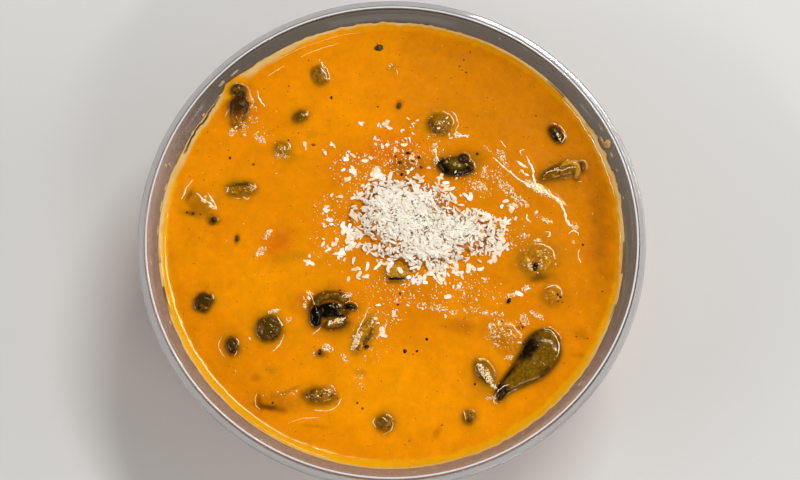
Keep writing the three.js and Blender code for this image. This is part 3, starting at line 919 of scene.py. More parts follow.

# Strands of coconut and folds of cream, many of them painted highlights: half width, paleness from dal to
# cream, and points (x, y).
STRANDS_AND_HIGHLIGHTS = [
    (0.3, 1, [(30.5, 24.9), (34.5, 21.2), (38.5, 17.5), (42.6, 14.6), (46, 13.2)]),
    (0.32, 1, [(40.6, 25.3), (42.4, 21.2), (42.7, 18.2), (43.6, 15.4), (46.7, 13.5)]),
    (0.4, 1, [(45.6, 13.9), (49.7, 11.3), (51.4, 8.2), (52.6, 4), (54.6, 2.6)]),
    (0.36, 1, [(37.8, 23.6), (39.2, 22.2), (40.7, 21.5)]),
    (0.34, 1, [(38.9, 20.8), (40, 19.6), (41.3, 19)]),
    (0.3, 0.9, [(39.6, 17), (41.6, 16), (42.6, 16.2), (44.6, 13.4)]),
    (0.28, 0.9, [(41.8, 17.6), (43, 15), (45.4, 14.8), (47.6, 11.9)]),
    (0.22, 0.9, [(-41.4, 46.9), (-41.1, 44.6), (-39.1, 41.3)]), (0.12, 0.8, [(-50.2, 40.3), (-51.4, 38)]),
    (0.16, 0.9, [(-7, -22.8), (-9.6, -28.4), (-11.2, -33)]),
    (0.26, 1, [(-59.1, 13.4), (-56.6, 11.2), (-54.4, 9.8), (-52.5, 8.1)]),
    (0.2, 0.9, [(-55.6, 13.4), (-53.8, 11), (-52.5, 8.1)]),
    (0.2, 0.9, [(-60, 17.6), (-61.8, 15.3), (-63.2, 11.4)]),
    (0.16, 0.8, [(39.1, 25.4), (38.9, 26.8), (40.2, 27.4)]),
    (0.18, 0.8, [(32.9, 30.2), (33.8, 29.2), (34.6, 27.9)]),
    (0.22, 0.9, [(40.5, 6.9), (40.4, 5.3), (41.7, 4.1)]),
    (0.18, 0.9, [(55.9, -4.2), (55.2, -6.1), (56, -8.4)]),
    (0.2, 0.9, [(52.6, 0.5), (54.2, 1.6), (55.5, 0.9), (55.5, 0.1)]),
    (0.16, 0.8, [(45.6, 1.4), (46.9, 1.2), (47, 0.1), (46.1, -0.4)]),
    (0.34, 0.9, [(19.6, 32.3), (20.8, 31.7), (22.7, 31.8)]),
    (0.26, 0.9, [(13, 27.9), (13.4, 25.6), (14.3, 23.2)]),
    (0.1, 0.5, [(-38.8, -47.7), (-39.3, -50), (-37.8, -52.6)]),
    (0.1, 0.5, [(-29.7, -56.4), (-26.3, -54.9), (-22.9, -54.7), (-20.6, -54.4)]),
    (0.16, 0.2, [(-38.8, 51.2), (-36, 53.2), (-33.4, 54.9)]),
    (0.16, 0.2, [(-28.4, 57.8), (-23.6, 60.2), (-16.4, 62.6)]), (0.1, 0.7, [(56.2, 17), (57.2, 17)]),
    (0.1, 0.7, [(1.2, 53.8), (1.6, 52)]),
]

# Painted highlights: narrow pale ridges where the dal is drawn up against a piece, with columns as in the
# strands above.
HIGHLIGHT_RIDGES = [
    (0.1, 0.6, [(-49.6, -30.6), (-50.4, -32.7), (-50, -34.8), (-48.5, -36.9)]),
    (0.12, 0.8, [(-44.8, -34.8), (-45.3, -36), (-45.9, -36.6)]),
    (0.15, 1, [(-33.7, -24.9), (-32.5, -26.4), (-31.8, -27.6)]),
    (0.13, 0.9, [(-31.5, -30), (-32, -31.8), (-33.1, -33.6), (-34.6, -35.1)]),
    (0.16, 0.9, [(-41.7, -30.9), (-41.1, -31.8)]),
    (0.15, 1, [(-17.5, -45.1), (-16.4, -46.2), (-16.1, -47.1)]),
    (0.12, 0.8, [(-14.6, -48.9), (-15.2, -50.6), (-17.4, -52.3), (-20, -52.6), (-22.6, -52.3)]),
    (0.09, 0.7, [(-4.8, -54.4), (-5.4, -55.8), (-4.5, -57.2)]),
    (0.1, 0.7, [(-0.2, -55.2), (0.4, -56.7), (-0.5, -58.4), (-2.2, -59.2)]),
    (0.14, 0.9, [(-2.8, -54.4), (-1.6, -55.5)]),
    (0.13, 0.8, [(18, 40), (19.5, 38.3), (20.1, 35.7), (19.2, 33.4)]),
    (0.12, 0.8, [(51.8, 33.4), (52.7, 31.4), (51.7, 29.5)]),
    (0.12, 0.9, [(45.1, -16.4), (46.9, -15.5), (48.7, -15.5), (49.8, -16.8), (50, -18.6)]),
    (0.13, 1, [(44.2, -28.5), (46.2, -29.1), (47.9, -31.2), (48.6, -34.2), (48, -36.6)]),
    (0.13, 0.9, [(-25.3, -16.8), (-23.5, -18.9), (-22.6, -21.6)]),
    (0.1, 0.8, [(-23.3, -30.3), (-21.9, -29.1), (-20.7, -27.9)]),
    (0.1, 0.9, [(-26.2, -18.9), (-25.6, -19.8)]), (0.1, 0.8, [(-26.1, -21.3), (-25.2, -22.8)]),
    (0.1, 0.9, [(20.5, -52.3), (21.3, -55.2)]), (0.12, 0.9, [(-49.2, 15.3), (-49.7, 13.4)]),
    (0.1, 0.8, [(-47.9, 12.1), (-45.7, 11.5)]), (0.15, 0.9, [(-44.9, 12.1), (-43.6, 11.5), (-42.8, 12.1)]),
    (0.12, 0.9, [(-42.9, 16), (-41.3, 15), (-42.2, 14.1)]),
    (0.2, 1, [(-22.4, 54.3), (-20.8, 52.3), (-20.2, 50.2)]),
    (0.1, 0.8, [(45.6, 18.5), (47.1, 19.8), (49.6, 20.4), (52, 20.4), (53.5, 21.1)]),
    (0.1, 0.8, [(34.1, -45.1), (32.1, -45.7), (30.3, -47.4), (29.4, -49.7), (30.5, -50.6)]),
]

# Painted highlights as pale ridges that follow the dal's edge: first and last angle, radius, half width,
# paleness.
EDGE_HIGHLIGHTS = [
    (10, 42, 67.8, 0.12, 0.45), (98, 126, 66.9, 0.08, 0.2), (352, 366, 67.8, 0.08, 0.5),
]


def swell(x, y):
    """Slow waves of a thick liquid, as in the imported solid, with finer ones on them."""
    slow = SWELL * np.sin(x / 13 + 0.6) * np.cos(y / 17 - 0.4)
    slow = slow + 0.5 * SWELL * np.sin((x + y) / 8) * np.cos((x - 2 * y) / 19)
    return slow + 0.10 * rough_noise(x, y, grain=8, seed=3) + 0.025 * noise(x, y, grain=1.7, seed=4)


def bare_dal(x, y):
    """The dal's surface as it would be with no garnish: waves, mounds, and its rise at the wall."""
    z = DAL_LEVEL + swell(x, y)
    for *oval, rise in MOUNDS:
        reach = Oval(*oval).reach(x, y) + 0.12 * noise(x, y, grain=1.6, seed=12)
        rough = 1 + 0.25 * noise(x, y, grain=1.3, seed=13)
        z = z + rise * np.clip(1 - reach**2, 0, 1) ** 1.6 * rough
    return z + EDGE_RISE * np.exp(-np.maximum(EDGE_RADIUS - np.hypot(x, y), 0) / EDGE_LENGTH)


class Drape:
    """The dal drawn up round the garnish and over its sides."""

    def __init__(self, bodies):
        points, faces, _ = join(*((body.points, body.faces, body.colours) for body in bodies))
        self.tree = BVHTree.FromPolygons(points.tolist(), faces.tolist())
        self.owners = np.repeat(np.arange(len(bodies)), [len(body.faces) for body in bodies])
        middles = [(body.points.min(0) + body.points.max(0)) / 2 for body in bodies]
        spans = [np.ptp(body.points[:, :2], axis=0).max() / 2 for body in bodies]
        self.circles = [(m[0], m[1], 1.3 * s + DRAPE_NEAR) for m, s in zip(middles, spans)]

    def near(self, x, y):
        """The indices of the points that lie near some garnish."""
        close = np.zeros(len(x), bool)
        for cx, cy, radius in self.circles:
            close |= np.hypot(x - cx, y - cy) < radius
        return np.flatnonzero(close)

    def surface(self, x, y):
        """The dal's height, how far the garnish is under it, and which body that is (-1 for none)."""
        z = bare_dal(x, y)
        gap = np.full(len(x), 99.0)
        owner = np.full(len(x), -1)
        ragged = 0.16 * rough_noise(x, y, grain=1.1, seed=14)
        for i in self.near(x, y):
            level = z[i]
            point = Vector((x[i], y[i], level + GARNISH_TOP))
            for _ in range(DRAPE_STEPS):
                nearest, normal, face, distance = self.tree.find_nearest(point)
                inside = distance < DRAPE_DEPTH and (point - nearest).dot(normal) < 0
                signed = -distance if inside else distance
                above = point.z - level
                drained = DRAPE_THIN * min(max(above / 0.8, 0), 1) + ragged[i]
                overlap = max(DRAPE_WIDTH - abs(above - signed - drained), 0)
                step = min(above, signed + drained) - overlap**2 / (4 * DRAPE_WIDTH)
                point.z -= step
                if abs(step) < DRAPE_ERROR:
                    break
            z[i], gap[i], owner[i] = point.z, signed, self.owners[face]
        return z, gap, owner

    def ground(self, x, y):
        """The height of what a crumb would land on: the dal, or garnish that stands clear of it."""
        z, _, _ = self.surface(x, y)
        for i in self.near(x, y):
            hit = self.tree.ray_cast(Vector((x[i], y[i], HEIGHT + GARNISH_TOP)), Vector((0, 0, -1)))[0]
            if hit is not None:
                z[i] = max(z[i], hit.z)
        return z


drape = Drape(BODIES)


def dal_colour(x, y):
    """The dal's colour with no garnish in it, with broad painted light and shade on it."""
    broad = rough_noise(x, y, grain=22, seed=21)
    colour = mix(DAL_ORANGE, DAL_YELLOW, 0.4 + 0.6 * broad)
    # Painted shade: the dal darker towards the north-east.
    upper_right_shade = smoothstep(8, 78, 0.8 * x + 0.6 * y + 8 * broad)
    colour = mix(colour, DAL_SHADE, 0.75 * upper_right_shade)
    for *oval, tone, strength in PATCHES:
        reach = Oval(*oval).reach(x, y) + 0.3 * rough_noise(x, y, grain=2.2, seed=23)
        colour = mix(colour, tone, strength * np.exp(-(np.maximum(reach, 0) ** 2.6)))
    colour = colour * (1 + 0.10 * rough_noise(x, y, grain=6, seed=22))[..., None]
    return colour * (1 + 0.06 * rough_noise(x, y, grain=1.2, seed=25))[..., None]


def stained(colour, x, y, gap, owner):
    """The dal's colour with the garnish that shows through it."""
    patchy = 1 + 0.3 * rough_noise(x, y, grain=1.3, seed=24)
    thickness = np.maximum(gap, 0) * patchy
    for k, body in enumerate(BODIES):
        mine = owner == k
        halo = body.stain * np.exp(-((thickness[mine] / body.spread) ** 1.2))
        colour[mine] = mix(colour[mine], body.shade, halo)
        colour[mine] = mix(colour[mine], body.edge, 0.85 * np.exp(-((thickness[mine] / 0.5) ** 1.6)))
    return colour


# How far the pale part of the film reaches down from its top: direction in degrees, width.
FILM_WIDTHS = [
    (0, 1.3), (14, 1.3), (22, 1.9), (31, 1.2), (42, 0.6), (106, 0.5), (118, 1.6), (131, 2.2), (133, -0.4),
    (138, -0.4), (140, 1.7), (163, 1.6), (185, 1.1), (197, 0.7), (254, 0.5), (298, 0.4), (336, 0.8),
    (360, 1.3),
]

# Where painted shade marks dark slots under the film's top: direction in degrees, width, strength.
FILM_SLOTS = [(150, 11, 1.0), (193, 7, 0.9), (350, 12, 0.8), (38, 9, 0.7)]


def film_top(angle):
    """The radius on the wall that the film of dal reaches, in each direction."""
    c, s = np.cos(angle), np.sin(angle)
    degrees = np.degrees(angle) % 360
    ragged = smoothstep(-0.2, 0.6, noise(1.6 * c + 5, 1.6 * s, seed=33))
    reach = FILM_REACH - 0.12 * c - 0.25 * s + 0.08 * rough_noise(4 * c, 4 * s, seed=31)
    reach = reach + 0.5 * ragged * np.maximum(rough_noise(26 * c, 26 * s, seed=32), -0.3)
    splashed = bell(degrees, 19, 10, 4) * np.maximum(0.35 + 1.3 * rough_noise(18 * c, 18 * s, seed=36), 0)
    # It is lower at 152 degrees, higher at 135.5, and splashed up at 19.
    return reach - 0.9 * bell(degrees, 152, 11, 4) + 0.8 * bell(degrees, 135.5, 3.0, 4) + splashed


def film_colour(colour, r, angle, reach):
    """The colour of the dal's edge: yellow where it thins, and paler where only a film is left, with painted
    shade in slots under its top and along its border to the southwest.
    """
    degrees = np.degrees(angle) % 360
    c, s = np.cos(angle), np.sin(angle)
    pale = np.interp(degrees, *np.array(FILM_WIDTHS).T)
    patchy = 0.35 * noise(34 * c, 34 * s, r, seed=34)
    yellow = 0.4 + 0.5 * smoothstep(128, 140, degrees) * smoothstep(355, 335, degrees)
    colour = mix(colour, FILM_YELLOW, yellow * smoothstep(66.2, 67.8, r + patchy))
    thinned = smoothstep(pale + 0.4, 0.6 * pale - 0.1, reach - r + patchy)
    colour = mix(colour, FILM, (0.85 + 0.6 * patchy) * thinned)
    # Painted shade in dark slots under the film's top.
    slots = sum(strength * bell(degrees, middle, width, 4) for middle, width, strength in FILM_SLOTS)
    broken = smoothstep(-0.1, 0.1, noise(20 * c, 20 * s, seed=35))
    in_gap = smoothstep(0.08, 0.2, reach - r) * smoothstep(0.75, 0.6, reach - r)
    colour = mix(colour, GAP_SHADE, np.minimum(slots, 1) * broken * in_gap)
    # Painted shade along the film's top to the southwest.
    border = bell(degrees, 220, 42, 4) * smoothstep(0.3, 0.12, reach - r)
    return mix(colour, FILM_BORDER_SHADE, 0.8 * border)


def disc_grid(n):
    """Points of an n by n grid drawn into a unit disc, as (radius, angle), and its quads."""
    side = np.linspace(-1, 1, n + 1)
    a, b = np.meshgrid(side, side, indexing="ij")
    radius = np.maximum(np.abs(a), np.abs(b))
    quarter = np.pi / 4
    east_west = np.abs(a) >= np.abs(b)
    flat_a, flat_b = np.where(a == 0, 1, a), np.where(b == 0, 1, b)
    angle = np.where(east_west, quarter * b / flat_a, np.pi / 2 - quarter * a / flat_b)
    angle = angle + np.where(np.where(east_west, a < 0, b < 0), np.pi, 0)
    i, k = np.meshgrid(np.arange(n), np.arange(n), indexing="ij")
    quads = [i * (n + 1) + k, (i + 1) * (n + 1) + k, (i + 1) * (n + 1) + k + 1, i * (n + 1) + k + 1]
    return radius.ravel(), angle.ravel(), np.stack(quads, -1).reshape(-1, 4)


def border_of_grid(n):
    """The indices of the grid's border, in order round it."""
    side = n + 1
    east = [n * side + k for k in range(n)]
    north = [i * side + n for i in range(n, 0, -1)]
    west = list(range(n, 0, -1))
    south = [i * side for i in range(n)]
    return np.array(east + north + west + south)


def smooth_max(a, b, width):
    """The higher of a and b, with a fillet where they cross."""
    h = np.maximum(width - np.abs(a - b), 0) / width
    return np.maximum(a, b) + h * h * width / 4


def dal_side(ring_angle, start_z):
    """Rows of points from the dal's border down the inside of the wall, which they reach just into."""
    skin_deep, deep = wall_points(WALL_TOUCH, 60), wall_points(WALL_REACH, 60)
    rows = []
    for share in np.linspace(0, 1, 14):
        level = start_z * (1 - share) + FLOOR_HEIGHT * share
        sunk = smoothstep(0, 0.15, share)
        radius = np.interp(level, skin_deep[:, 1], skin_deep[:, 0]) * (1 - sunk)
        radius = radius + np.interp(level, deep[:, 1], deep[:, 0]) * sunk
        rows.append(np.stack([radius * np.cos(ring_angle), radius * np.sin(ring_angle), level], -1))
    return rows


def make_dal():
    share, angle, top = disc_grid(DAL_GRID)
    reach = film_top(angle)
    outer = FLAT_RADIUS + (share - FLAT_SHARE) / (1 - FLAT_SHARE) * (reach - FLAT_RADIUS)
    r = np.where(share < FLAT_SHARE, share / FLAT_SHARE * FLAT_RADIUS, outer)
    x, y = r * np.cos(angle), r * np.sin(angle)
    z, gap, owner = drape.surface(x, y)
    film = FILM_THICKNESS * smoothstep(0, 0.4, reach - r)
    z = smooth_max(z, wall_height(r) + film - FILM_SUNK, FILM_FILLET)
    colour = film_colour(dal_colour(x, y), r, angle, reach)
    colour = stained(colour, x, y, gap, owner)
    points = np.stack([x, y, z], -1)

    border = border_of_grid(DAL_GRID)
    columns = len(border) // SIDE_STEP
    rows = dal_side(angle[border][::SIDE_STEP], z[border][::SIDE_STEP])
    first = len(points)
    side_faces = split(grid_faces(len(rows), columns)) + first
    seam = []
    for k in range(columns):
        edge = [border[(SIDE_STEP * k + i) % len(border)] for i in range(SIDE_STEP + 1)]
        here, following = first + k, first + (k + 1) % columns
        half = SIDE_STEP // 2
        seam += [(edge[i], here, edge[i + 1]) for i in range(half)]
        seam += [(edge[half], here, following)]
        seam += [(edge[i], following, edge[i + 1]) for i in range(half, SIDE_STEP)]
    floor_ring = first + (len(rows) - 1) * columns
    middle = first + len(rows) * columns
    under = [(middle, floor_ring + (k + 1) % columns, floor_ring + k) for k in range(columns)]
    all_points = np.concatenate([points, *rows, [[0, 0, FLOOR_HEIGHT]]])
    side_colour = mix(DAL_ORANGE, DAL_YELLOW, np.full(len(all_points) - first, 0.5))
    triangles = np.concatenate([split(top), side_faces, np.array(seam), np.array(under)])
    piece = new_mesh("dal_soup", all_points, triangles, np.concatenate([colour, side_colour]))
    keep(piece, dal_material(), "dal", "dal")


# ---------------------------------------------------------------- coconut

HEAP_HEIGHT = 2.9
HEAP_MIDDLE = (9.0, 3.0)
HEAP_TRIES = 11000  # places at which a flake of the heap may lie
HEAP_SHADE_GRAINS = 190
SHADE_GRAINS_REACH = (17.0, 9.0)  # how far east and north of the heap's middle they lie
HEAP_OVALS = [
    Oval(2.4, 3.6, 12.0, 11.2),
    Oval(6.0, 9.0, 11.5, 9.0),
    Oval(-1.2, 9.6, 8.6, 8.6),
    Oval(19.5, 0.6, 14.2, 7.2, -3),
    Oval(10.0, -4.0, 13.0, 7.0),
]
PEA_BARE = Oval(2.2, -10.6, 3.6, 3.2)  # no coconut lies on this side of the pea under the heap


def heap_share(x, y):
    """0 in the middle of the heap and about 1 on its outline."""
    return sum((oval.reach(x, y) + 0.05) ** -6.0 for oval in HEAP_OVALS) ** (-1 / 6)


def heap_top(x, y):
    """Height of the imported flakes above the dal."""
    share = np.clip(heap_share(x, y), 0, 1)
    lumps = 0.4 * rough_noise(x, y, grain=4, seed=41)
    return (HEAP_HEIGHT - 0.4 + lumps) * (1 - share**2) ** 1.1


def chips(places, sizes, yaw, pitch, roll, dice):
    """Flakes: bent slips that narrow at both ends. A row of sizes is length, width, thickness."""
    count = len(places)
    steps = np.array([-1.0, -0.62, 0.0, 0.62, 1.0])
    stations = np.repeat(steps, 4)
    side = np.tile([-1.0, 1.0, 1.0, -1.0], len(steps))
    over = np.tile([-1.0, -1.0, 1.0, 1.0], len(steps))
    taper = np.stack([
        dice.uniform(0.2, 0.8, count),
        dice.uniform(0.7, 1.1, count),
        np.ones(count),
        dice.uniform(0.6, 1.0, count),
        dice.uniform(0.2, 0.7, count),
    ], 1)
    narrow = np.repeat(taper, 4, axis=1)
    bend = dice.normal(0, 0.09, (count, 2, 1))
    arch = 1 - stations**2
    along = stations * sizes[:, :1] / 2
    across = side * narrow * sizes[:, 1:2] / 2 + bend[:, 0] * sizes[:, 1:2] * 2 * arch
    up = over * sizes[:, 2:] / 2 * (0.5 + 0.5 * narrow) + bend[:, 1] * arch
    last = 4 * (len(steps) - 1)
    quads = [[3, 2, 1, 0], [last, last + 1, last + 2, last + 3]]
    for start in range(0, last, 4):
        for k in range(4):
            following = (k + 1) % 4
            quads.append([start + k, start + following, start + 4 + following, start + 4 + k])
    return copies(np.stack([along, across, up], -1), split(np.array(quads)), places, yaw, pitch, roll)


def flake_sizes(count, length, slim, dice):
    """Lengths, widths and thicknesses about a mean length; slim is (least, most) width for its length."""
    long = length * np.clip(dice.lognormal(0, 0.33, count), 0.5, 1.9)
    wide = np.clip(long * dice.uniform(*slim, count), 0.28, 1.5)
    return np.stack([long, wide, dice.uniform(0.18, 0.36, count)], -1)


def heap_core():
    """What the flakes lie on: packed coconut in the middle, and dal showing further out, with spots of
    painted shade for the dark pores between the flakes.
    """
    rows, sides = 50, 120
    share = np.linspace(0.02, 0.92, rows)[:, None]
    angle = (np.arange(sides) * 2 * np.pi / sides)[None, :]
    middle_x, middle_y = HEAP_MIDDLE
    scan = np.linspace(1, 34, 120)[:, None]
    edge = heap_share(middle_x + scan * np.cos(angle), middle_y + scan * np.sin(angle))
    outline = np.array([scan[np.argmax(column > 0.9), 0] for column in edge.T])[None, :]
    outline = (np.roll(outline, 1, 1) + outline + np.roll(outline, -1, 1)) / 3
    x = middle_x + share * outline * np.cos(angle)
    y = middle_y + share * outline * np.sin(angle)
    relief = 0.25 * rough_noise(x, y, grain=0.8, seed=42)
    z = DAL_LEVEL + swell(x, y) + heap_top(x, y) - 0.25 + relief - 2.5 * smoothstep(0.84, 0.92, share)
    points = np.stack([x, y, z], -1).reshape(-1, 3)
    poles = [[middle_x, middle_y, DAL_LEVEL + HEAP_HEIGHT - 0.6], [middle_x, middle_y, DAL_LEVEL - 2]]
    cream, soaked, pore_shade = linear("E6DAC6"), linear("D98A1A"), linear("5E3A06")
    soaking = smoothstep(0.35, 0.6, share + 0.3 * rough_noise(x, y, grain=2.5, seed=44))
    # Painted shade in the pores between the flakes.
    shaded_pores = smoothstep(0.1, 0.4, rough_noise(x, y, grain=0.9, seed=45))
    colour = mix(mix(cream, soaked, soaking), pore_shade, 0.8 * shaded_pores)
    colour = np.concatenate([colour.reshape(-1, 3), np.tile(cream, (2, 1))])
    return np.concatenate([points, poles]), ring_faces(rows, sides), colour


def heap_shade_grains(dice):
    """Dark grains as small as pores among the flakes: painted shade in the gaps between them."""
    count = HEAP_SHADE_GRAINS
    angle = dice.uniform(0, 2 * np.pi, count)
    out = np.sqrt(dice.uniform(0, 1, count))
    x = HEAP_MIDDLE[0] + SHADE_GRAINS_REACH[0] * out * np.cos(angle)
    y = HEAP_MIDDLE[1] + SHADE_GRAINS_REACH[1] * out * np.sin(angle)
    z = DAL_LEVEL + swell(x, y) + heap_top(x, y) + 0.42
    shape, faces = ball(3, 6)
    radius = dice.uniform(0.08, 0.2, (count, 1))
    sizes = radius * dice.uniform((0.8, 0.6, 0.5), (1.6, 1.0, 0.8), (count, 3))
    shapes = shape[None] * sizes[:, None, :]
    tone = mix("2E2408", "7A6A3A", dice.uniform(0, 1, count))
    return tinted(*copies(shapes, faces, np.stack([x, y, z], -1), angle, 0 * x, 0 * x), tone)


def make_heap():
    dice = np.random.default_rng(41)
    heap_low, heap_high = frame_box("coconut_heap")
    margin = 1.5
    x, y = [dice.uniform(heap_low[i] - margin, heap_high[i] + margin, HEAP_TRIES) for i in (0, 1)]
    share = heap_share(x, y)
    ragged = share + 0.28 * rough_noise(x, y, grain=2.6, seed=43)
    chance = 0.6 - 0.46 * smoothstep(0.25, 0.75, ragged)
    chance = chance * (1 - 0.85 * smoothstep(0.95, 1.15, ragged))
    kept = (dice.uniform(0, 1, HEAP_TRIES) < chance) & (share < 1.2) & (PEA_BARE.reach(x, y) > 1)
    x, y, share = x[kept], y[kept], share[kept]
    count = len(x)
    outer = smoothstep(0.35, 0.95, share)
    ground = np.maximum(DAL_LEVEL + swell(x, y) + heap_top(x, y), drape.ground(x, y))
    z = ground + 0.2 - 0.5 * dice.uniform(0, 1, count) ** 2 * smoothstep(1.0, 0.8, share)
    plump, slender = flake_sizes(count, 1.2, (0.4, 0.75), dice), flake_sizes(count, 1.9, (0.2, 0.36), dice)
    is_slender = dice.uniform(0, 1, count) < 0.35 + 0.45 * outer
    sizes = np.where(is_slender[:, None], slender, plump)
    tilts = dice.normal(0, 1, (2, count)) * (0.12 + 0.25 * outer - 0.22 * smoothstep(0.9, 1.1, share))
    points, faces = chips(np.stack([x, y, z], -1), sizes, dice.uniform(0, 2 * np.pi, count), *tilts, dice)
    tone = mix("FAF2E2", "EEDFC6", dice.uniform(0, 1, count))
    tone = mix(tone, "F6CC86", 0.6 * smoothstep(0.75, 1.1, share) * dice.uniform(0, 1, count))
    parts = join(heap_core(), tinted(points, faces, tone), heap_shade_grains(dice))
    piece = new_mesh("coconut_flakes", *parts, smooth=False)
    keep(piece, coconut_material("coconut", 0.5, 0.05), "coconut", "coconut_heap")


# Loose flakes on the dal: x, y, spread, how many, mean length.
FLAKE_GROUPS = [
    (-13.6, 2.2, 1.1, 8, 2), (-11.8, -1, 1.3, 8, 1.9), (-12, -3.6, 0.8, 3, 2.2), (-10.6, 11.6, 0.3, 1, 3),
    (-12.2, 20.4, 0.5, 2, 2.4), (-4.4, 19.8, 0.6, 3, 2.6), (-14, 24.6, 0.4, 1, 1.6),
    (-26.4, 28.5, 0.5, 2, 0.9), (-21.3, 27.5, 0.8, 2, 1), (-17.8, 28.4, 0.7, 3, 1.2),
    (-11.6, 24.9, 0.6, 2, 1.2), (-9.4, 35.7, 0.5, 2, 1.5), (-2.4, 35.4, 1.1, 9, 1.4),
    (-4.9, 30.7, 0.6, 2, 1.4), (6, 36, 1.2, 5, 1), (4.4, 30.8, 2.8, 10, 1.1), (-2, 28, 4, 9, 1),
    (-9, 22, 3.5, 9, 1.1), (6, 21, 4, 9, 1.1), (16, 17, 2.4, 8, 1.6), (-17.5, 13, 2.2, 4, 1.1),
    (-20.2, 8.2, 1, 5, 1.3), (-20.4, 3.6, 1.2, 4, 1.3), (-17.6, -2.6, 1.6, 9, 1.4),
    (-24.4, -7.4, 1.2, 4, 1.2), (-14.5, -6.5, 2.6, 9, 1.7), (-8, -11.5, 3, 9, 1.7), (-1, -9.6, 2.4, 7, 1.9),
    (8, -13.5, 2.6, 8, 1.9), (15, -12.6, 3.6, 12, 1.9), (17.2, -9.6, 1.4, 3, 3.4), (20, -16, 2.2, 6, 1.4),
    (26, -10, 2.4, 6, 2), (30, -8.4, 1.6, 3, 1.8), (31.6, -4.2, 0.6, 1, 4.4), (34.5, -3, 1.6, 4, 1.8),
    (35.5, 5, 1.6, 3, 1.6), (34, 9.4, 1.6, 3, 1.6), (22, 12.5, 1.4, 3, 2.4), (2, -20, 3.5, 7, 0.9),
    (0.5, -26, 3, 7, 1), (-3, -29.5, 0.8, 3, 1.6), (14.5, 36.5, 1.8, 4, 0.9), (16, 32.5, 1.4, 3, 1),
    (22, -20.8, 5, 6, 0.9),
]

# Larger flakes that lie by themselves: x, y, length, width, turn.
BIG_FLAKES = [
    (31.6, -4.2, 5, 1.8, 85), (29.2, 6.7, 4.6, 1.4, 5), (34.2, -3.6, 2.2, 0.9, 95),
    (24.4, -5.4, 3.4, 1, 20), (15.5, -11, 4.2, 1.2, 95), (18.8, -11.3, 3, 1.4, -10),
    (-11.9, 20.1, 2.6, 1.7, -40), (-4.2, 18.9, 3.4, 1.9, 5), (-2.6, 17.6, 2, 0.9, 60),
    (-14, 24.2, 1.6, 1.3, 0), (-14.8, 20.8, 1.5, 0.8, 30), (17.3, 14.8, 3.4, 0.9, 12),
    (18.2, 12.6, 3.6, 0.9, -50), (-11, 11.7, 3, 0.9, 5), (-14.6, 3.2, 2.4, 1.4, 80),
    (-13.4, 1, 3, 1.2, -60), (-10.6, 1, 3.2, 1, 25), (-12.5, -1.2, 2.6, 1.5, 0),
    (-20.6, -2.6, 1.8, 0.9, 60), (-11.2, -7.4, 3.4, 0.8, 75), (-15.6, -6.6, 1.6, 0.8, 80),
    (-4.2, -9.2, 3.6, 0.9, 50), (-7.4, -9.6, 2.8, 1, 80), (8.4, -9.2, 3.4, 1.2, 62),
    (10.6, -8.6, 2.6, 1, -30), (34.6, 4.2, 2.8, 0.8, 45), (31.2, 5, 2.4, 0.8, 0),
    (16.4, -18.8, 2.2, 1.3, 10), (9.8, -14.6, 1.6, 1.2, 0), (37.4, -17.8, 2.6, 1.4, -30),
    (-9.6, 35.7, 1.9, 0.7, -40),
]

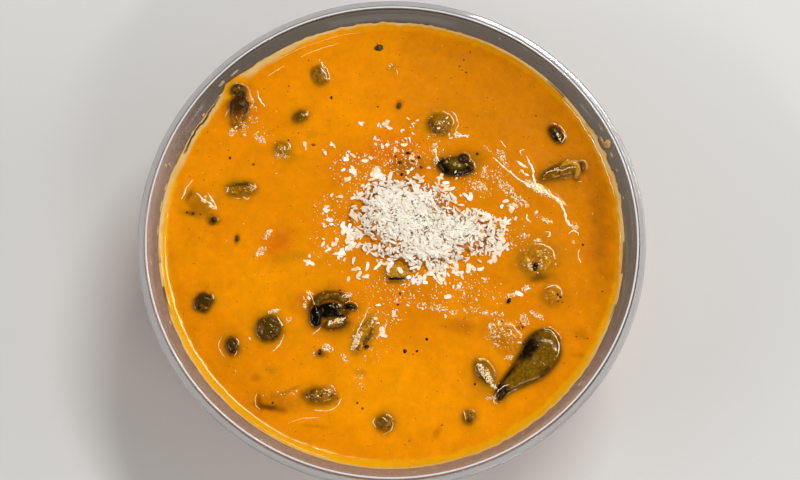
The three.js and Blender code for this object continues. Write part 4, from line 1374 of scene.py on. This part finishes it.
# Clusters of wet crumbs: x, y, half length, half width, turn, how many, mean radius.
CRUMB_GROUPS = [
    (25.9, 15.6, 3, 1.4, -12, 70, 0.2), (28, 20.4, 2.4, 0.9, 72, 40, 0.2),
    (34.3, 15.3, 2.9, 1.5, -45, 80, 0.2), (38.4, 10.9, 3.2, 1, -38, 66, 0.21),
    (36.2, 9, 1.6, 1.2, 0, 60, 0.24), (43.4, 14.8, 4.4, 1.1, -38, 110, 0.2),
    (33, 25.6, 2, 1.2, -50, 46, 0.19), (34.4, 22.6, 1.4, 0.6, -50, 16, 0.19),
    (29.4, 27.2, 2.2, 0.4, -48, 20, 0.16), (31, 18.2, 3.6, 2.6, -30, 50, 0.15),
    (43.1, 7.4, 0.9, 0.5, 0, 14, 0.18), (46.4, 4.7, 1.6, 0.9, -20, 40, 0.22),
    (44, 6, 2, 0.6, -30, 16, 0.18), (39.6, -0.1, 1.4, 0.7, 0, 22, 0.18),
    (43.6, -1.5, 1.3, 0.6, 0, 20, 0.18), (54.4, 3.2, 1.6, 1, -50, 34, 0.2), (54.1, -2, 0.5, 0.4, 0, 9, 0.2),
    (-40.3, 30.8, 2.4, 1, -50, 44, 0.19), (-48.6, 33.2, 1.9, 1, 50, 40, 0.18),
    (-45.2, 34.2, 0.8, 2.4, 0, 22, 0.16), (-42.6, 38.6, 1.6, 3.4, 10, 26, 0.13),
    (-37.4, 0.2, 1.9, 0.9, 60, 44, 0.18), (-38.9, -4.8, 1.9, 0.9, 42, 60, 0.2),
    (-36.4, 1.4, 0.6, 0.6, 0, 16, 0.2), (-33.5, 26.3, 2.4, 2, 0, 34, 0.12),
    (-33.4, 25.2, 2.3, 0.6, 0, 22, 0.15), (-34.6, -23.1, 2.3, 0.6, 20, 36, 0.19),
    (-30.2, -25.8, 1.3, 0.9, 0, 18, 0.18), (-49.6, -1.6, 0.6, 0.6, 0, 4, 0.16),
    (8.8, -21.6, 1.5, 1.1, 0, 34, 0.22), (13.5, -22.2, 2.8, 1, -5, 52, 0.22),
    (18.2, -23.4, 1.2, 0.8, 0, 18, 0.2), (23, -22.8, 2.6, 1, 0, 26, 0.2), (28, -23.6, 2.4, 0.8, 0, 22, 0.2),
    (31.7, -24, 1.4, 0.8, 0, 16, 0.2), (27.4, -42.6, 4.4, 1, -53, 210, 0.19),
    (28.6, -48.6, 1.6, 1, 0, 20, 0.17), (-10.3, -32.2, 3.2, 0.9, 64, 130, 0.19),
    (-13.6, -37.4, 1.7, 0.6, -48, 32, 0.2), (-2.8, -28.6, 3.2, 0.5, 58, 40, 0.2),
    (-13.2, -18.4, 1.5, 0.8, 30, 36, 0.2), (-16.2, -26.2, 2.8, 0.8, 18, 70, 0.18),
    (-18.9, -34.2, 1.9, 1, -20, 60, 0.21), (-22.4, -35.6, 0.5, 1.2, 0, 6, 0.16),
    (19.8, 32.1, 1, 1, 0, 34, 0.22), (22.2, 31.8, 1.6, 0.5, -10, 20, 0.2), (12.6, 27.4, 0.7, 2, 0, 34, 0.2),
    (13.2, 24, 0.6, 1.6, 0, 20, 0.2), (29.8, -29.2, 2.8, 1.4, -66, 60, 0.2),
    (30.4, -32, 1, 2, 10, 20, 0.16), (33.9, -37, 1.4, 0.8, 0, 24, 0.2),
    (38.7, -25.6, 2.2, 1.1, -62, 50, 0.21), (42.5, -24.4, 2.4, 0.8, -34, 40, 0.2),
    (39.4, -16.4, 1.2, 1, 0, 34, 0.22), (35.2, -18.4, 2, 0.7, 20, 34, 0.2),
    (-9.4, -43.4, 1.6, 3.4, 0, 26, 0.16), (40.7, -9.4, 0.7, 1.7, 10, 34, 0.16),
    (43.9, -9.2, 0.5, 1.8, 0, 22, 0.16), (46, -6.2, 2.6, 1, 0, 8, 0.13),
    (-25.4, -20.8, 0.5, 2.2, 0, 16, 0.18), (-21.6, 55, 0.4, 2.4, 26, 26, 0.13),
    (50.8, 31, 1.6, 0.4, -60, 18, 0.14), (48.4, 20.4, 3.4, 0.3, 24, 16, 0.15),
    (-0.2, 54.8, 1, 1.2, 0, 12, 0.17), (-45.8, 14.6, 4.6, 2.4, 4, 10, 0.11),
    (-49.6, 14.4, 0.6, 1.2, 0, 6, 0.12), (-42, 14.6, 0.9, 1.1, 0, 8, 0.13),
    (14, 35.6, 3.4, 3.2, 0, 14, 0.14), (13.4, 32.2, 2.8, 0.8, 10, 14, 0.13),
    (-35.9, -28.6, 3, 3, 0, 14, 0.12), (45, -36, 5, 3.6, 46, 12, 0.12),
    (-20.6, -48.2, 4.6, 0.5, 8, 30, 0.13), (-31.4, -47.4, 6, 1, 10, 14, 0.13),
    (21.6, -5.6, 3, 3, 0, 12, 0.2), (0, 25, 9, 6, 0, 190, 0.17), (-12, 20, 7, 7, 0, 130, 0.17),
    (12, 26, 6, 5, 0, 50, 0.16), (24, 16, 7, 4, -20, 60, 0.16), (10, -15, 20, 6, 0, 210, 0.18),
    (26, -18, 8, 5, 0, 60, 0.16), (-2, -20, 9, 8, 0, 110, 0.16), (-18, 2, 7, 12, 0, 150, 0.17),
    (-42, 34, 8, 3, -30, 26, 0.14), (33, -30, 6, 5, 0, 80, 0.15), (-6, -31, 6, 9, 0, 60, 0.14),
    (36, 2, 4, 8, 0, 40, 0.16), (44, -6, 6, 6, 0, 18, 0.14), (38, 18, 9, 7, -30, 40, 0.13),
]


def make_loose_coconut():
    dice = np.random.default_rng(51)
    groups = [(x, y, spread, length) for x, y, spread, count, length in FLAKE_GROUPS for _ in range(count)]
    x, y, spread, length = np.array(groups).T
    count = len(x)
    x = x + spread * dice.normal(0, 0.7, count)
    y = y + spread * dice.normal(0, 0.7, count)
    sizes = flake_sizes(count, length, (0.35, 0.7), dice)
    wet = np.clip(dice.uniform(0, 1, count) ** 0.8 - 0.25 * (length > 1.7), 0, 1)
    yaw = dice.uniform(0, 2 * np.pi, count)

    big = np.array(BIG_FLAKES)
    x, y = np.append(x, big[:, 0]), np.append(y, big[:, 1])
    sizes = np.concatenate([sizes, np.column_stack([big[:, 2:4], np.full(len(big), 0.35)])])
    wet = np.append(wet, 0.15 * dice.uniform(0, 1, len(big)))
    yaw = np.append(yaw, np.radians(big[:, 4]))
    count = len(x)
    z = drape.ground(x, y) + dice.uniform(-0.05, 0.14, count)
    tilts = dice.normal(0, 0.1, (2, count))
    points, faces = chips(np.stack([x, y, z], -1), sizes, yaw, *tilts, dice)
    tone = mix("FFF6E6", "F8BE50", 0.6 * wet)
    piece = new_mesh("loose_flakes", *tinted(points, faces, tone), smooth=False)
    keep(piece, coconut_material("wet_coconut", 0.3, 0.3), "coconut")


def make_crumbs():
    dice = np.random.default_rng(52)
    rows, means = [], []
    for x, y, long, wide, turn, count, mean in CRUMB_GROUPS:
        distance = np.sqrt(dice.uniform(0, 1, count))
        angle = dice.uniform(0, 2 * np.pi, count)
        local = np.stack([long * distance * np.cos(angle), wide * distance * np.sin(angle), 0 * angle], -1)
        rows.append(turned(local, turn) + (x, y, 0))
        means += [mean] * count
    places = np.concatenate(rows)
    count = len(places)
    radius = np.clip(np.array(means) * dice.lognormal(0, 0.35, count), 0.08, 0.5)
    places[:, 2] = drape.ground(places[:, 0], places[:, 1]) + 0.1 * radius
    shape, faces = ball(3, 6)
    shapes = grains(shape, radius, (0.8, 0.5, 0.5), (1.8, 1.0, 0.9), (0.75, 1.2), dice)
    yaw = dice.uniform(0, 2 * np.pi, count)
    points, faces = copies(shapes, faces, places, yaw, *dice.normal(0, 0.3, (2, count)))
    tone = mix("FFF8D8", "FFB838", 0.8 * dice.uniform(0, 1, count))
    keep(new_mesh("wet_crumbs", *tinted(points, faces, tone)), coconut_material("crumb", 0.2, 0.5), "coconut")


def edge_route(start, end, radius):
    """Points of a ridge that follows the dal's edge."""
    angles = np.radians(np.arange(start, end, 3.0))
    return [(radius * math.cos(a), radius * math.sin(a)) for a in angles]


def make_strands_and_highlights():
    # Strands of coconut and cream, and pale strands and ridges that are painted highlights on the dal.
    parts = []
    edges = [(width, pale, edge_route(start, end, radius)) for start, end, radius, width, pale in EDGE_HIGHLIGHTS]
    for k, (width, paleness_and_highlight, route) in enumerate(STRANDS_AND_HIGHLIGHTS + HIGHLIGHT_RIDGES + edges):
        length = sum(math.dist(a, b) for a, b in zip(route, route[1:]))
        rows = max(10, int(length / 0.25))
        along = spline(route, np.linspace(0, 1, rows))
        along = along + 0.15 * np.stack([noise(along[:, 0], along[:, 1], seed=50 + s) for s in (0, 1)], 1)
        uneven = width * (1 + 0.6 * noise(along[:, 0], along[:, 1], grain=0.7, seed=55 + k))
        height = drape.ground(along[:, 0], along[:, 1]) + 0.1 * width
        sections = np.column_stack([along, height, uneven, 0.6 * uneven])
        points, faces, *_ = loft(sections, rows, 10, rounding=0.35)
        x, y, _ = points.T
        tone = mix("FFFCE8", "FFD468", 0.35 + 0.7 * noise(x, y, grain=0.7, seed=57))
        tone = mix("FFB61E", tone, np.full(len(x), paleness_and_highlight))
        parts.append((points, faces, tone))
    keep(new_mesh("cream_strands_and_highlights", *join(*parts)), coconut_material("strand", 0.2, 0.4), "coconut")


# ---------------------------------------------------------------- spices

SMALL_SPECKS = 380
SMALL_SPECKS_REACH = 66.0  # how far from the bowl's axis they lie
GRIT_GRAINS = 1500
GRIT_REACH = 65.5

# Specks that stand out: x, y, radius, colour.
SPECKS = [
    (-18.7, 44.3, 0.5, "33100A"), (-49.2, 24.6, 0.42, "5A1408"), (-42, 22.6, 0.36, "7A2408"),
    (-31.9, 48.2, 0.26, "3A1A08"), (-28.6, 32.7, 0.26, "3E2A0A"), (-31.6, 30.3, 0.26, "4A2A0A"),
    (-26, 56.8, 0.24, "4A2408"), (-4.4, 41.4, 0.28, "3E2A0A"), (-13.6, 26.4, 0.4, "1A0E08"),
    (25.8, 25.9, 0.5, "1E0E06"), (56.8, -2.8, 0.36, "4A1E0A"), (3.8, -35.1, 0.52, "0E0906"),
    (7.3, -35.1, 0.38, "160C06"), (6.2, -36, 0.22, "6A1E08"), (10.2, -31.5, 0.42, "1C0E06"),
    (2.4, -17.8, 0.46, "1A0D06"), (1.8, -21.2, 0.4, "8A1206"), (-23.9, 28.9, 0.6, "A63A06"),
    (24, -44.8, 0.4, "140B06"), (-15.3, -16.8, 0.34, "140F06"), (4.8, 26, 0.6, "2E2008"),
    (8.1, 24.7, 0.6, "33260A"), (2.4, 22.9, 0.62, "4A3008"), (8.8, 21.5, 0.46, "5E2E08"),
    (2.9, 19.3, 0.5, "241808"), (4.3, 18.6, 0.36, "241808"), (1, 25, 0.44, "5A3A0A"),
    (6.2, 23.4, 0.4, "3A2808"), (-61.4, 7.2, 0.36, "4A3408"), (-59.5, 6.8, 0.4, "332608"),
    (-57.3, 6.5, 0.3, "4A3408"), (-34.2, -50.4, 0.36, "5A1808"), (-22.8, -48.6, 0.3, "4A1C08"),
    (-21.6, -48.3, 0.34, "5E1E08"), (-20.2, -48.4, 0.3, "4A1808"), (-17.4, -48.2, 0.36, "5E1E08"),
    (-15.6, -49, 0.24, "5A2A08"), (32.2, -26.2, 0.34, "3E1208"), (38.4, -33.2, 0.34, "3A1A08"),
    # The grains at (42.5, -9.2) and (42.2, -10.3) are painted shade, the dark of the east lump's hole.
    (38.2, -28, 0.3, "6A1E08"), (37.6, -26.8, 0.24, "7A2A08"), (42.5, -9.2, 1.05, "0E0A06"),
    (42.2, -10.3, 0.85, "1E1608"), (48.6, -18.4, 0.4, "33240A"), (49.4, -19, 0.46, "241806"),
    (48.8, -20.2, 0.34, "3A2808"), (50, -20.4, 0.26, "5A3A08"), (53.8, -30.8, 0.26, "3A1A08"),
    (57, -31.4, 0.22, "3A1A08"), (62, -17.2, 0.26, "5E1E08"), (50, 53.2, 0.3, "A63A06"),
    (-9.9, -50.3, 0.36, "7A2E08"), (-8.4, -46, 0.24, "7A3E08"), (-8.4, -51.9, 0.4, "8A3A06"),
    (5, -61.2, 0.26, "A04406"), (14.4, -56.6, 0.3, "A04406"), (22.2, 57, 0.3, "7A2E06"),
    (20.8, 54.8, 0.36, "6A2A06"), (21.6, 53.6, 0.26, "7A2E06"), (22.8, 52.8, 0.34, "5E2006"),
    (24.2, 59.6, 0.3, "7A2E06"), (44, 38.4, 0.24, "5E2408"), (50.6, 35.2, 0.26, "5E2408"),
    (-4.6, 62, 0.3, "6A3208"),
]

# Small dark bits with a shape: x, y, half length, half width, turn, height above the dal, colour.
BITS = [
    (-4.2, 61, 1.35, 1, 5, 0.1, "3A3618"), (34.4, -20, 0.9, 0.55, 60, 0.3, "0B0805"),
    (2, 41.6, 1, 0.7, 70, 0.05, "4A3C0C"), (-20.9, -35.4, 0.45, 0.9, 0, 0, "1C1607"),
    (-7.3, -33.9, 0.8, 0.5, 10, 0.5, "0A0905"), (-53.2, 4.6, 0.9, 0.8, 0, 0.5, "262308"),
    # The long black bit at (1.4, -13.6) is a painted shadow under the south edge of the pea in the heap.
    (-46.2, -0.8, 0.45, 0.9, 10, 0, "3A340C"), (1.4, -13.6, 2.6, 0.38, 2, 1.1, "070604"),
]


def make_specks():
    dice = np.random.default_rng(53)
    parts = []
    shape, faces = ball(5, 9)
    marks = np.array([row[:3] for row in SPECKS])
    heights = drape.ground(marks[:, 0], marks[:, 1])
    for (x, y, radius, tone), height in zip(SPECKS, heights):
        size = radius * dice.uniform(0.75, 1.25, 3) * (1, 1, 0.6)
        points = shape * size * dice.uniform(0.85, 1.15, (len(shape), 1)) + (x, y, height)
        parts.append((points, faces, np.tile(linear(tone), (len(points), 1))))
    bit_shape, bit_faces = ball(16, 26)
    for k, (x, y, long, wide, turn, height, tone) in enumerate(BITS):
        points = turned(lumpy(bit_shape * (long, wide, 0.7), 0.2, 0.7, 80 + k), turn)
        base = float(bare_dal(np.array(x), np.array(y)))
        points = points + (x, y, base + height)
        parts.append((points, bit_faces, np.tile(linear(tone), (len(points), 1))))
    count = SMALL_SPECKS
    x, y, angle = in_disc(dice, count, SMALL_SPECKS_REACH)
    places = np.stack([x, y, drape.surface(x, y)[0] - 0.02], -1)
    radius = dice.uniform(0.07, 0.2, count)
    shapes = shape[None] * (radius[:, None] * np.array([1.0, 1.0, 0.6]))[:, None, :]
    points, small_faces = copies(shapes, faces, places, angle, 0 * angle, 0 * angle)
    tone = mix("A04A04", "3A1A06", dice.uniform(0, 1, count))
    parts.append(tinted(points, small_faces, tone))
    keep(new_mesh("spice_specks", *join(*parts)), food_material("spice", 0.2, 0.03, 3.0), "chilli")


def make_grit():
    """Grains of lentil just under the surface, which catch the light."""
    dice = np.random.default_rng(54)
    x, y, _ = in_disc(dice, GRIT_GRAINS, GRIT_REACH)
    crowded = rough_noise(x, y, grain=9, seed=58) > dice.uniform(-0.5, 0.7, GRIT_GRAINS)
    x, y = x[crowded], y[crowded]
    count = len(x)
    radius = np.clip(dice.lognormal(math.log(0.17), 0.35, count), 0.08, 0.4)
    places = np.stack([x, y, drape.surface(x, y)[0] - 0.15 * radius], -1)
    shape, faces = ball(4, 8)
    shapes = grains(shape, radius, (0.8, 0.7, 0.5), (1.4, 1.0, 0.8), (0.85, 1.15), dice)
    points, faces = copies(shapes, faces, places, dice.uniform(0, 2 * np.pi, count), 0 * x, 0 * x)
    tone = mix(dal_colour(x, y) * 1.1, "FBC060", 0.6 * dice.uniform(0, 1, count) ** 2)
    keep(new_mesh("lentil_grit", *tinted(points, faces, tone)), food_material("grit", 0.12, 0.02, 2.0), "dal")


# ---------------------------------------------------------------- dal on the wall

# Drops and smears on the wall: angle, radius on the wall, half size along and up it, paleness.
WALL_DROPS = [
    (23.2, 70.6, 1.3, 1.4, 0.1), (27.6, 71.2, 1.2, 0.25, 0.8), (24.6, 69.9, 1.6, 0.4, 0.6),
    (20.2, 70.4, 1, 0.35, 0.7), (16.2, 70.2, 0.4, 0.3, 0.7), (163, 70.9, 0.6, 0.5, 0.4),
    (162.2, 70.2, 0.3, 0.7, 0.6), (168, 69.4, 1.4, 0.3, 0.6), (173, 69.4, 2, 0.4, 0.5),
    (179, 69.5, 1.6, 0.3, 0.6), (203, 69.9, 0.6, 0.3, 0.4), (137.6, 70.6, 1.3, 0.5, 0.9),
    (133.4, 70.4, 1.5, 0.35, 0.9), (152, 68.8, 0.8, 0.3, 0.5), (146.5, 69, 0.5, 0.4, 0.5),
    (320, 70.4, 0.9, 0.3, 0.4), (302, 70.3, 0.4, 0.2, 0.7), (62, 70.8, 0.25, 0.2, 0.9),
    (9, 69.9, 0.4, 0.25, 0.6),
]


def make_wall_drops():
    parts = []
    shape, faces = ball(10, 26)
    for k, (degrees, radius, along, up, pale) in enumerate(WALL_DROPS):
        a = math.radians(degrees)
        out = np.array([math.cos(a), math.sin(a), 0])
        tangent = np.array([math.sin(a), -math.cos(a), 0])
        slope = float(wall_height(radius + 0.1) - wall_height(radius - 0.1)) / 0.2
        upward = (out + np.array([0, 0, slope])) / math.hypot(1, slope)
        inward = np.cross(tangent, upward)
        lumps = lumpy(shape * (along, up, 0.16), 0.3, 0.6, 90 + k)
        middle = radius * out + np.array([0, 0, float(wall_height(radius))])
        points = middle + lumps @ np.stack([tangent, upward, inward])
        tone = mix("D8A656", "A89C86", np.full(len(points), pale))
        parts.append((points, faces, tone))
    keep(new_mesh("wall_drops", *join(*parts)), food_material("film_drops", 0.2, 0.03, 1.2), "dal")


# ---------------------------------------------------------------- stage

FLOOR_HALF = 4000
WORLD_LIGHT = 0.10

# Lamps aimed at the bowl: name, azimuth from east to north, tilt from straight above, distance in
# metres, size in metres, radiance.
LAMPS = [
    ("key", 55, 37, 1.0, (0.52, 0.08), 52),
    ("side_southeast", -55, 48, 1.0, (0.40, 0.07), 22),
    ("side_west", 200, 56, 1.0, (0.44, 0.06), 18),
    ("fill_west", 180, 66, 1.2, (0.9, 0.5), 2.2),
    ("fill_east", 0, 66, 1.2, (0.9, 0.5), 3.0),
    ("fill_south", 270, 62, 1.2, (0.9, 0.5), 0.8),
]

CAMERA_ELEVATION = 73.24
CAMERA_DISTANCE = 400
CAMERA_AIM = (2.37, -3.02, HEIGHT)
CAMERA_LENS = 61.3


def make_floor():
    corners = [(FLOOR_HALF * i, FLOOR_HALF * k, 0) for i, k in ((-1, -1), (1, -1), (1, 1), (-1, 1))]
    floor = new_mesh("floor", corners, [[0, 1, 2, 3]], smooth=False)
    r = Recipe("floor")
    r.set(Base_Color=linear("D6D5D2"), Roughness=0.9)
    floor.data.materials.append(r.material)


def make_lamp(name, azimuth, tilt, distance, size, radiance):
    """A soft lamp aimed at the bowl."""
    a, t = math.radians(azimuth), math.radians(tilt)
    away = Vector((math.sin(t) * math.cos(a), math.sin(t) * math.sin(a), math.cos(t)))
    lamp = bpy.data.lights.new(name, "AREA")
    lamp.shape = "RECTANGLE"
    lamp.size, lamp.size_y = size
    lamp.energy = radiance * math.pi * size[0] * size[1]
    holder = bpy.data.objects.new(name, lamp)
    holder.location = Vector((0, 0, DAL_LEVEL * MM)) + away * distance
    holder.rotation_euler = (-away).to_track_quat("-Z", "Y").to_euler()
    bpy.context.scene.collection.objects.link(holder)


def make_lights():
    world = bpy.data.worlds.new("world")
    bpy.context.scene.world = world
    world.use_nodes = True
    background = world.node_tree.nodes["Background"]
    background.inputs["Color"].default_value = (1, 1, 1, 1)
    background.inputs["Strength"].default_value = WORLD_LIGHT
    for row in LAMPS:
        make_lamp(*row)


def make_camera():
    elevation = math.radians(CAMERA_ELEVATION)
    back = Vector((0, -math.cos(elevation), math.sin(elevation)))
    data = bpy.data.cameras.new("camera")
    data.lens = CAMERA_LENS
    data.sensor_width = 36
    data.clip_start = 0.01
    camera = bpy.data.objects.new("camera", data)
    camera.location = (Vector(CAMERA_AIM) + back * CAMERA_DISTANCE) * MM
    camera.rotation_euler = (math.pi / 2 - elevation, 0, 0)
    bpy.context.scene.collection.objects.link(camera)
    bpy.context.scene.camera = camera


def main():
    bpy.context.scene.view_settings.view_transform = "Standard"
    make_camera()
    make_floor()
    make_lights()
    make_bowl()
    make_dal()
    make_garnish()
    make_heap()
    make_loose_coconut()
    make_crumbs()
    make_strands_and_highlights()
    make_specks()
    make_grit()
    make_wall_drops()


main()
